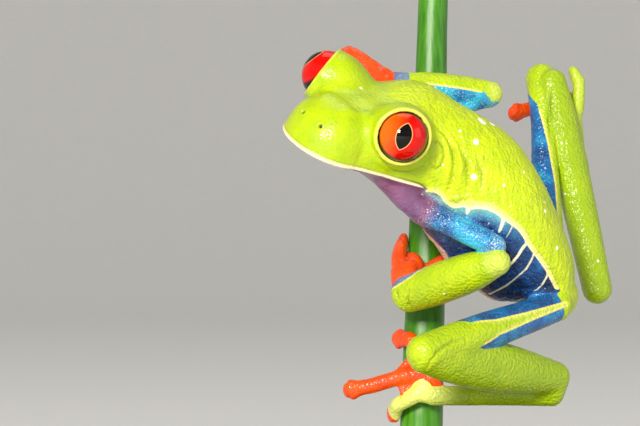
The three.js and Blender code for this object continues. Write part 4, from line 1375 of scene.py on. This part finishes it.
def make_stand():
    edge, bead = BASE_RADIUS - 0.1, 0.8
    profile = [(0, 0.0), (8, 0.0), (edge - 0.5, 0.0), *arc((edge - 0.3, 0.3), 0.3, -90, 0, 4),
               (edge, 1.5), *arc((edge - 0.5, 1.7), 0.5, 0, 90, 5), (edge - 0.9, 2.25),
               *arc((edge - 1.5, BASE_HEIGHT - 0.9), 0.9, 20, 90, 8), (edge - 4, BASE_HEIGHT),
               (12, BASE_HEIGHT), (4, BASE_HEIGHT), (0, BASE_HEIGHT)]
    base = turn_profile("display_base", profile, 160)
    finish_piece(base, stained_walnut(), "stand_wood", "stand_base")
    low, high = BASE_HEIGHT + ROD_GAP, STEM_FOOT - ROD_GAP
    bevel = 0.2
    rod = [(0, low), (ROD_RADIUS - bevel, low), (ROD_RADIUS, low + bevel),
           *[(ROD_RADIUS, h) for h in np.linspace(low + 2 * bevel, high - 2 * bevel, 12)],
           (ROD_RADIUS, high - bevel), (ROD_RADIUS - bevel, high), (0, high)]
    rod = turn_profile("display_rod", rod, 48, STEM_ROWS[0][:2])
    finish_piece(rod, brushed_steel(), "stand_steel", "stand_rod")


# -------------------------------------------------------------------------------- stage
def make_stage():
    """A wide round floor of paper that curves up into a wall all round."""
    flat, curve, wall = 900.0, 600.0, 1600.0
    bend = arc((flat, curve), curve, -90, 0, 24)
    profile = [(0, 0), (60, 0), (200, 0), (500, 0), *bend, (flat + curve, wall)]
    sides = 96
    angles = np.linspace(0, 2 * np.pi, sides, endpoint=False)
    vertices = [[0, 0, 0]]
    for radius, height in profile[1:]:
        ring = [radius * np.cos(angles), radius * np.sin(angles), np.full(sides, height)]
        vertices.extend(np.stack(ring, 1).tolist())
    faces = []
    for j in range(sides):
        k = (j + 1) % sides
        faces.append((0, 1 + j, 1 + k))
        for i in range(len(profile) - 2):
            a, b = 1 + i * sides, 1 + (i + 1) * sides
            faces.append((a + j, b + j, b + k, a + k))
    floor = add_mesh("studio_floor", vertices, faces)
    floor.data.materials.append(studio_paper())


# [place in mm, size in mm, watts, colour]: a key to the camera's left, a wide fill, a back rim
LAMPS = {
    "key": ([-200, -655, 285], 140, 6.4, "#fff8ee"),
    "fill": ([620, -200, 160], 400, 0.7, "#f2f6ff"),
    "top": ([60, 200, 700], 400, 0.8, "#ffffff"),
}


def make_lights():
    for name, (place, size, watts, colour) in LAMPS.items():
        data = bpy.data.lights.new(name, "AREA")
        data.size, data.energy, data.color = size * MM, watts, linear(colour)[:3]
        lamp = bpy.data.objects.new(name, data)
        lamp.location = Vector(place) * MM
        aim = Vector([-5, -4, 40]) * MM - lamp.location
        lamp.rotation_euler = aim.to_track_quat("-Z", "Y").to_euler()
        bpy.context.scene.collection.objects.link(lamp)
    world = bpy.data.worlds.new("studio")
    world.use_nodes = True
    tree = world.node_tree
    tree.nodes.clear()
    sky = add(tree, "Background", {"Color": linear("#eef1f4"), "Strength": 0.14})
    add(tree, "OutputWorld", None, {"Surface": sky.outputs[0]})
    bpy.context.scene.world = world
    bpy.context.scene.view_settings.view_transform = "Standard"


make_stage()
make_lights()
make_skin()
eye_material = wet_red_eye()
make_eye("eye_left", 1, eye_material)
make_eye("eye_right", -1, eye_material)
make_stem()
make_stand()
